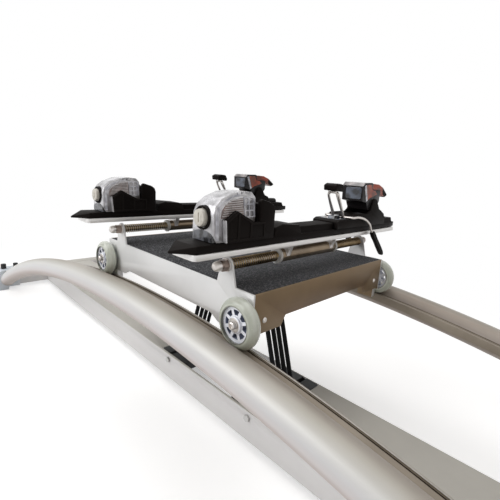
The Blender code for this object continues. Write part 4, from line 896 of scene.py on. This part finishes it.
def shaft_look(x, hand):
    washer = CARRIAGE_HALF_Y + GAP
    nut = washer + 0.002
    cap = nut + 0.01
    half = [
        (SHAFT_RADIUS, washer), (0.0106, washer), (0.011, washer + 0.0004), (0.011, nut - 0.0004),
        (0.0106, nut), (0.0086, nut), (0.0086, cap), (0.0082, cap + 0.002), (0.0085, cap + 0.003),
        (0.0084, cap + 0.0065), (0.0078, cap + 0.0095), (0.0065, cap + 0.012), (0.0045, cap + 0.0139),
        (0.0022, cap + 0.0148), (0, cap + 0.015),
    ]
    profile = list(reversed(half)) + [(radius, -along) for radius, along in half]
    rod = lathe(f"shaft_{hand}_look", profile, at(x, 0, SHAFT_Z), "bright_steel", 44)

    # Painted shade: the capped nut's neck and flats are coloured dark brown, and the dome stays bright steel
    def neck_shade_paint(middle, normal):
        return "nut_steel" if nut < abs(middle.y - CENTRE_Y) < cap + 0.0035 else None

    painted(rod, "bright_steel", neck_shade_paint)
    settle(rod, "carriage", "bright_steel", f"ski_shaft_{hand}")
    bore = circle(x, SHAFT_Z, 0.008)
    for side, depth in DEPTHS:
        ends = sorted((side * (nut + 0.0002), side * (cap - 0.0002)))
        flats = circle(x, SHAFT_Z, NUT_RADIUS, 6)
        hexagon = slab(f"nut_{depth}_{hand}", "XZ", flats, *ends, "nut_steel", [bore])
        settle(rounded(hexagon, 0.0005), "carriage", "bright_steel")


def spring_look(x, side, label):
    mean = SHAFT_RADIUS + 0.001 + SPRING_WIRE
    end_pitch = 2 * SPRING_WIRE + 0.0008
    low = BUSH_HALF + GAP + SPRING_WIRE
    high = CARRIAGE_HALF_Y - SHEET - GAP - SPRING_WIRE
    per_curl = 22
    open_pitch = (high - low - 2 * end_pitch) / (SPRING_CURLS - 2)
    points = []
    for step in range(SPRING_CURLS * per_curl + 1):
        turns = step / per_curl
        along = low + end_pitch * min(turns, 1)
        along += open_pitch * min(max(turns - 1, 0), SPRING_CURLS - 2)
        along += end_pitch * max(turns - SPRING_CURLS + 1, 0)
        angle = 2 * pi * turns
        points.append(at(x + mean * cos(angle), side * along, SHAFT_Z + mean * sin(angle)))
    coil = wire(f"spring_{label}_look", points, SPRING_WIRE, "spring_steel", 10)
    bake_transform(coil)
    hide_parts(f"spring_{label}")


def tube_shade_paint(centre, normal):
    """Painted shade: the tube under the plate, and not the brackets that hold it, is coloured dark brown."""
    reach = hypot(abs(centre.x) - SHAFT_X, centre.z - SHAFT_Z)
    return "plate_tube_shade" if reach < 0.0127 else None


BUSH_COLLAR = mm(
    (12.7, 86.2), (14, 86.6), (14.4, 87.6), (14.4, 90.8), (13.6, 91.9), (9.6, 91.9), (9.6, 89.2), (12.7, 89),
)
for side, hand in HANDS:
    shaft_look(side * SHAFT_X, hand)
    for way, depth in DEPTHS:
        spring_look(side * SHAFT_X, way, f"{depth}_{hand}")
        place = at(side * SHAFT_X, 0, SHAFT_Z)
        name = f"bush_collar_{depth}_{hand}"
        cap = lathe(name, BUSH_COLLAR, place, "white_nylon", 44, closed=True, side=way)
        settle(cap, f"bush_{hand}", "white_nylon")
    refined(f"slide_bush_{hand}", 0.0005)
    refined(f"ski_plate_{hand}", 0.001, 3, paint=tube_shade_paint)


# Bindings

def placed(points, centre):
    return [(centre[0] + y, centre[1] + z) for y, z in points]


def lean(obj, x):
    """Lays an upright piece against the toe housing's side, which draws in above the dial."""
    level = BASE_TOP + DIAL_RISE
    with editing(obj.data) as bm:
        geometry = [*bm.verts, *bm.edges, *bm.faces]
        bmesh.ops.bisect_plane(bm, geom=geometry, plane_co=(0, 0, level), plane_no=(0, 0, 1))
        for vertex in bm.verts:
            rise = (vertex.co.z - BASE_TOP - DIAL_RISE) / (TOE_HEIGHT - DIAL_RISE)
            side = 1 if vertex.co.x > x else -1
            vertex.co.x -= side * TOE_HALF * TOE_TAPER * min(max(rise, 0), 1)


def side_plate(name, outline, x, side, inner, outer, finish, body, slot, leaning=False, holes=()):
    """A plate on one flank of a binding, from inner to outer out from its middle plane."""
    plate = slab(name, "YZ", outline, *sorted((x + side * inner, x + side * outer)), finish, holes)
    if leaning:
        lean(plate, x)
    settle(rounded(plate, 0.0003), body, slot)


def strip_between(start_y, start_z, end_y, end_z, width):
    """The four corners of a straight strip."""
    start, end = Vector((start_y, start_z)), Vector((end_y, end_z))
    across = (end - start).normalized() * width / 2
    across = Vector((-across.y, across.x))
    return [start + across, end + across, end - across, start - across]


def rounded_loop(low_a, low_b, high_a, high_b, radius, steps=4):
    loop = []
    corners = (
        (high_a - radius, low_b + radius, -90), (high_a - radius, high_b - radius, 0),
        (low_a + radius, high_b - radius, 90), (low_a + radius, low_b + radius, 180),
    )
    for a, b, start in corners:
        loop += arc(a, b, radius, radians(start), radians(start + 90), steps)
    return loop


def eased(points, steps=6):
    """A smooth line through its points, for bent wires."""
    points = [Vector(point) for point in points]
    line = []
    for number in range(len(points) - 1):
        before = points[max(number - 1, 0)]
        here, there = points[number], points[number + 1]
        after = points[min(number + 2, len(points) - 1)]
        slope = there - before
        bend = 2 * before - 5 * here + 4 * there - after
        twist = 3 * here - before - 3 * there + after
        for step in range(steps):
            t = step / steps
            line.append(0.5 * (2 * here + slope * t + bend * t**2 + twist * t**3))
    line.append(points[-1])
    return line


SKIRT = mm(
    (-22.6, 0.8), (-22.6, 10), (-19, 13.5), (-10, 16), (0, 16.6), (10, 16), (19, 13.5), (22.6, 10),
    (22.6, 0.8),
)
# Painted highlight: a pale band along the toe housing's front and top edges
TOE_HIGHLIGHT_BAND = mm(
    (-251.5, 4), (-252.8, 12), (-252.8, 39.5), (-249, 50), (-239, 59), (-219, 66.8), (-205, 68.6),
    (-205, 66), (-218, 64), (-236.8, 55.6), (-245, 47.4), (-247.8, 38.5), (-247.8, 12), (-247, 4),
)
GRILLE_BACK = mm((-244, 35), (-241, 46.2), (-234, 53), (-215, 61.2), (-200, 63), (-200, 35))
CELLS = mm((-198.5, 35), (-198.5, 64.8), (-176.8, 64.8), (-176.8, 35))
STRUTS = mm(
    (-236.4, 2.6, -237.9, 30.6, 3), (-238.4, 30.3, -218, 43.8, 2.6), (-219.4, 43.8, -186.8, 25.7, 2.6),
    (-187.8, 26, -161.6, 26, 2.6), (-237.6, 4, -161.6, 4, 2.6), (-162.9, 2.8, -162.9, 27, 2.6),
    (-216.8, 3.6, -216.8, 42, 3.6), (-191.4, 3.6, -191.4, 27.2, 3.6),
)
CHEEK_STRIP = mm((-239.4, 1.2), (-241.8, 31.8), (-240.2, 33.2), (-237.4, 1.2))


def cell_windows():
    """Two columns of three windows."""
    corners = [(-0.1972 + 0.0101 * n, BASE_TOP + 0.0363 + 0.0094 * row) for n in range(2) for row in range(3)]
    return [rounded_loop(y, z, y + 0.0081, z + 0.0076, 0.0018) for y, z in corners]


def grille_rib(number):
    rise = 0.0372 + 0.0031 * number
    front = -0.242 + 0.0016 * number + (0.0034 * (number - 5) if number > 5 else 0)
    return [(front, rise), (front, rise + 0.0014), (-0.201, rise + 0.0029), (-0.201, rise + 0.0015)]


def toe_look(x, hand):
    body = f"toe_{hand}"
    refined(f"toe_housing_{hand}", 0.0008, 3, 25)
    refined(f"toe_cup_{hand}", 0.0016, 3)
    refined(f"toe_dial_{hand}", 0.0008, 3)
    ring = mm((14.2, 5), (14.2, -2.6), (14.9, -3.2), (16.3, -3.2), (17.2, -2.2), (17.6, 5))
    centre = at(x, TOE_FRONT, BASE_TOP + DIAL_RISE)
    settle(lathe(f"dial_ring_{hand}", ring, centre, "binding_black", 56, closed=True), body, "binding_black")
    skirt = placed(SKIRT, (x, BASE_TOP))
    apron = slab(f"toe_apron_{hand}", "XZ", skirt, TOE_FRONT - 0.001, TOE_FRONT + 0.004, "apron_gloss")
    settle(rounded(apron, 0.0006), body, "binding_grey")
    flank = TOE_HALF - SKIN
    plates = [
        # painted highlight band along the front and top edges
        ("toe_fascia", "", TOE_HIGHLIGHT_BAND, flank, TOE_HALF + 0.0007, "toe_white"),
        ("toe_grille", "", GRILLE_BACK, flank, TOE_HALF + 0.0003, "toe_mauve"),
        ("toe_cells", "", CELLS, flank, TOE_HALF + 0.0007, "toe_white"),
    ]
    for n in range(8):
        plates.append(("toe_rib", f"_{n}", grille_rib(n), TOE_HALF - 0.0004, TOE_HALF + 0.0012, "rib_silver"))
    for n, strut in enumerate(STRUTS):
        proud = CHEEK_HALF + SKIN + 0.00004 * n
        rib = strip_between(*strut)
        plates.append(("cheek_rib", f"_{n}", rib, CHEEK_HALF - 0.0006, proud, "binding_black"))
    sunk = TOE_HALF + GAP + 0.0002
    plates.append(("cheek_strip", "", CHEEK_STRIP, sunk, CHEEK_HALF + 0.0004, "binding_silver"))
    for side, edge in EDGES:
        for stem, tail, outline, inner, outer, finish in plates:
            side_plate(
                f"{stem}_{edge}_{hand}{tail}", placed(outline, (0, BASE_TOP)), x, side, inner, outer,
                finish, body,
                "binding_black" if stem == "cheek_rib" else "binding_silver",
                leaning=stem.startswith("toe"), holes=cell_windows() if stem == "toe_cells" else (),
            )
    top = BASE_TOP + TOE_HEIGHT
    for number in range(3):
        low = -0.209 + 0.0085 * number
        outline = rounded_loop(x - 0.015, low, x + 0.015, low + 0.0044, 0.0016)
        height = top - 0.0002 - 0.0004 * (2 - number)
        bar = slab(f"toe_top_bar_{hand}_{number}", "XY", outline, top - 0.003, height, "toe_mauve")
        settle(rounded(bar, 0.0004), body, "binding_silver")


# Painted highlight: the heel head's upward faces get a lighter colour
def head_highlight_paint(centre, normal):
    return "head_top_highlight" if normal.z > 0.6 and centre.z > HEEL_PIVOT[1] + 0.04 else None


# Painted highlight: a pale strip on each flank of the heel head, near its front corner
HEAD_HIGHLIGHT_STRIP = mm((-50.5, 39.5), (-43, 41.5), (-30, 8.5), (-36, 6))
HEAD_FLANK = mm(
    (-42, 42), (-18.5, 43), (-15, 36), (-12, 31.2), (1, 29.6), (12, 22.5), (-4, 17.2), (-20, 14), (-29, 9),
)
LEVER_TIP = mm((48, -2.8), (69, -16.5), (67.5, -20), (58, -23.2), (47, -17), (44, -9))
BRAKE_BLOCK = mm((-29, -3), (-27, 2.5), (-20, 3.4), (-8, 3.4), (-5.5, -3))


def heel_look(x, hand):
    body = f"heel_{hand}"
    head = f"heel_head_{hand}"
    refined(f"heel_housing_{hand}", 0.001)
    refined(f"heel_cup_{hand}", 0.0026, 3, paint=head_highlight_paint)
    refined(f"heel_lever_{hand}", 0.0012)
    front = HEEL_PIVOT[0] - 0.0548
    middle = HEEL_PIVOT[1] + 0.0232
    pane = rounded_loop(x - 0.0155, middle - 0.0125, x + 0.0215, middle + 0.0125, 0.004, 6)
    window = slab(f"head_window_{hand}", "XZ", pane, front - 0.0009, front + 0.003, "slate")
    settle(rounded(window, 0.0006, 3), head, "binding_grey")
    sunk = HEEL_CUP_HALF - 0.001
    for side, edge in EDGES:
        # painted highlight strip on each side of the head
        side_plate(
            f"head_highlight_strip_{edge}_{hand}", placed(HEAD_HIGHLIGHT_STRIP, HEEL_PIVOT), x, side, sunk,
            HEEL_CUP_HALF + 0.0009, "toe_white", head, "binding_silver",
        )
        side_plate(
            f"head_flank_{edge}_{hand}", placed(HEAD_FLANK, HEEL_PIVOT), x, side, sunk,
            HEEL_CUP_HALF + 0.0005, "lever_orange", head, "lever_orange",
        )
    half = LEVER_HALF + 0.0004
    cap = slab(f"lever_tip_{hand}", "YZ", placed(LEVER_TIP, LEVER_PIVOT), x - half, x + half, "binding_black")
    settle(rounded(cap, 0.001, 3), f"lever_{hand}", "binding_black")
    deck = BASE_TOP + HEEL_DECK
    outline = rounded_loop(x - 0.0225, 0.0655, x + 0.0225, 0.0985, 0.003)
    plate = slab(f"heel_deck_{hand}", "XY", outline, deck - 0.0012, deck + 0.0006, "slate")
    settle(rounded(plate, 0.0004), body, "binding_grey")
    outline = placed(BRAKE_BLOCK, BRAKE_PIVOT)
    block = slab(f"brake_block_{hand}", "YZ", outline, x - 0.0078, x + 0.0078, "slate")
    settle(rounded(block, 0.0008, 3), body, "binding_grey")


def brake_route(x, half):
    """A bent wire's line: the half given about the brake's pivot, and the same on the other side."""
    other = [(-u, y, z) for u, y, z in reversed(half) if u]
    return eased([at(x + u, BRAKE_PIVOT[0] + y, BRAKE_PIVOT[1] + z) for u, y, z in half + other])


def tip_outline():
    """The brake arm's plastic end, along the arm's last stretch."""
    elbow = Vector((ARM_ELBOW[0], -ARM_ELBOW[1]))
    end = Vector((ARM_END[0], -ARM_END[1]))
    along = (end - elbow).normalized()
    across = Vector((-along.y, along.x)) * ARM_TIP_EDGE
    start = end - along * ARM_TIP_LENGTH
    shape = [
        (0, 0.62), (0.003, 0.85), (0.012, 1), (0.03, 0.86), (0.048, 0.98), (0.068, 1),
        (0.08, 0.92), (0.086, 0.6), (0.088, 0.25),
    ]
    outline = [start + along * reach + across * width for reach, width in shape]
    outline += [start + along * reach - across * width for reach, width in reversed(shape)]
    return placed(outline, BRAKE_PIVOT)


def brake_look(x, hand):
    body = f"brake_{hand}"
    elbow_y, elbow_drop = ARM_ELBOW
    near = HEEL_HALF + ARM_WIRE_R + 2 * GAP
    arm = [
        (ARM_X, ARM_END[0] - 0.045, 0.033 - ARM_END[1] + 0.008),
        (ARM_X, elbow_y, -elbow_drop),
        (ARM_X, elbow_y * 0.88, -elbow_drop * 0.58),
        (ARM_X - 0.002, elbow_y * 0.63, -elbow_drop * 0.17),
        (near, elbow_y * 0.34, 0),
        (near, ARM_WIRE_R * 2.4, 0),
        (near - 0.004, 0, 0),
        (PEDAL_HALF - 0.002, 0, 0),
        (PEDAL_HALF - 0.0025, -0.004, 0.0055),
        (PEDAL_HALF - 0.003, PEDAL_BACK - 0.012, PEDAL_RISE - 0.009),
        (PEDAL_HALF - 0.005, PEDAL_BACK - 0.0145, PEDAL_RISE - 0.002),
        (PEDAL_HALF - 0.009, PEDAL_BACK - 0.015, PEDAL_RISE),
    ]
    bent = wire(f"brake_wire_{hand}", brake_route(x, arm), ARM_WIRE_R, "bright_steel", 14)
    settle(bent, body, "bright_steel", f"brake_arms_{hand}")
    for side, edge in EDGES:
        ends = sorted((x + side * (ARM_X - ARM_TIP_HALF), x + side * (ARM_X + ARM_TIP_HALF)))
        tip = slab(f"brake_tip_{edge}_{hand}", "YZ", tip_outline(), *ends, "binding_black")
        settle(rounded(tip, 0.0018, 3, 50), body, "binding_black")

    refined(f"brake_pedal_{hand}", 0.001)
    # Painted highlight: a thin silver sheet on the black pedal's top face
    front = PEDAL_BACK - PEDAL_LENGTH + 0.0088
    back = PEDAL_BACK - 0.0068
    low = PEDAL_RISE + ARM_WIRE_R * 0.61 + GAP
    front_top = low + PEDAL_THICK
    back_top = low + PEDAL_THICK * 0.945
    top = [
        (front, front_top - 0.0004), (front, front_top + 0.0008), (back, back_top + 0.0008),
        (back, back_top - 0.0004),
    ]
    top = placed(top, BRAKE_PIVOT)
    shine = slab(f"pedal_top_highlight_{hand}", "YZ", top, x - 0.0122, x + 0.0122, "binding_silver")
    settle(rounded(shine, 0.0003), body, "binding_silver")
    spring = [
        (0.0088, PEDAL_BACK - 0.02, PEDAL_RISE + 0.003),
        (0.009, PEDAL_BACK - 0.017, PEDAL_RISE - 0.006),
        (0.0094, -0.006, 0.01),
        (0.0094, -0.001, 0.002),
        (0.006, 0, -0.001),
        (0, 0, -0.0014),
    ]
    thin = wire(f"brake_spring_{hand}", brake_route(x, spring), 0.0011, "bright_steel", 12)
    settle(thin, body, "bright_steel")


for side, hand in HANDS:
    refined(f"binding_track_{hand}", 0.0012)
    for look in (toe_look, heel_look, brake_look):
        look(side * SHAFT_X, hand)


# Stage, light and camera

FLOOR_LIFT = 0.42
FLOOR_HALF = 14
FLOOR_Z = -0.0005


def mirrored_rays(rays):
    return maths("MAXIMUM", rays["Is Glossy Ray"], rays["Is Transmission Ray"])


def backdrop():
    """A pale floor that keeps the soft shadow near the object and runs out to white around it."""
    tree, shader = new_material("pale_floor", colour=(0.9, 0.9, 0.9, 1), rough=0.9)
    rays = add(tree, "LightPath").outputs
    flat = mapped(place_of(tree), (0.62, 1, 1))
    reach = add(tree, "VectorMath", {0: flat}, operation="LENGTH").outputs["Value"]
    limits = {"Value": reach, "From Min": 0.45, "From Max": 1.3}
    far = add(tree, "MapRange", limits, interpolation_type="SMOOTHSTEP").outputs["Result"]
    camera_far = maths("MULTIPLY", rays["Is Camera Ray"], far)
    white_share = maths("MAXIMUM", mirrored_rays(rays), camera_far)
    lift = maths("MULTIPLY", rays["Is Camera Ray"], FLOOR_LIFT)
    glow = add(tree, "Emission", {"Color": WHITE, "Strength": lift})
    near = add(tree, "AddShader", {0: shader.outputs[0], 1: glow.outputs[0]})
    white = add(tree, "Emission", {"Color": WHITE, "Strength": 1})
    mix = add(tree, "MixShader", {0: white_share, 1: near.outputs[0], 2: white.outputs[0]})
    give(tree.nodes["Material Output"], {"Surface": mix.outputs[0]})
    points = [(x * FLOOR_HALF, y * FLOOR_HALF, FLOOR_Z) for x, y in ((-1, -1), (1, -1), (1, 1), (-1, 1))]
    from_data("floor", points, [(0, 1, 2, 3)], "pale_floor")


def world_light():
    """Soft light that is fuller on the front left, with a plain white surround."""
    world = bpy.data.worlds.new("studio")
    bpy.context.scene.world = world
    world.use_nodes = True
    tree = world.node_tree
    tree.nodes.clear()
    across = split(place_of(tree, "Generated"))["X"]
    stops = [(0, (1, 1, 1)), (0.5, (0.8, 0.79, 0.78)), (1, (0.3, 0.25, 0.2))]
    shade = ramp(spread(across, 0, 1, -0.8, 0.9), stops)
    light = add(tree, "Background", {"Color": shade, "Strength": 0.55})
    white = add(tree, "Background", {"Color": WHITE, "Strength": 1})
    rays = add(tree, "LightPath").outputs
    seen = maths("MAXIMUM", rays["Is Camera Ray"], mirrored_rays(rays))
    mix = add(tree, "MixShader", {0: seen, 1: light.outputs[0], 2: white.outputs[0]})
    add(tree, "OutputWorld", {"Surface": mix.outputs[0]})


def lamp(name, place, aim, size, power):
    data = bpy.data.lights.new(name, "AREA")
    data.shape = "SQUARE"
    data.size = size
    data.energy = power
    obj = linked(name, data)
    obj.location = place
    obj.rotation_mode = "QUATERNION"
    obj.rotation_quaternion = (Vector(aim) - Vector(place)).to_track_quat("-Z", "Y")


def photo_camera():
    """The photo's own view, fitted to points of the object."""
    azimuth, elevation, roll = radians(44.38), radians(12.55), radians(3.68)
    level = cos(elevation)
    back = Vector((sin(azimuth) * level, -cos(azimuth) * level, sin(elevation)))
    right = Vector((cos(azimuth), sin(azimuth), 0))
    up = back.cross(right)
    turned_right = right * cos(roll) + up * sin(roll)
    turned_up = -right * sin(roll) + up * cos(roll)
    place = Matrix((turned_right, turned_up, back)).transposed().to_4x4()
    place.translation = at(0.5759, -0.5619, 0.2183 + AXLE_Z)
    data = bpy.data.cameras.new("photo_camera")
    data.sensor_fit = "HORIZONTAL"
    data.sensor_width = 36
    data.lens = 25.456
    data.shift_y = 0.0019
    data.clip_start = 0.01
    data.clip_end = 60
    camera = linked("photo_camera", data)
    camera.matrix_world = place
    bpy.context.scene.camera = camera


backdrop()
world_light()
lamp("key", (-1.6, -3, 2.3), (0, 0, 0.3), 2.8, 72)
lamp("top", (-0.2, 0.2, 3), (0, 0, 0.3), 2.4, 26)
photo_camera()
bpy.context.scene.view_settings.view_transform = "Standard"
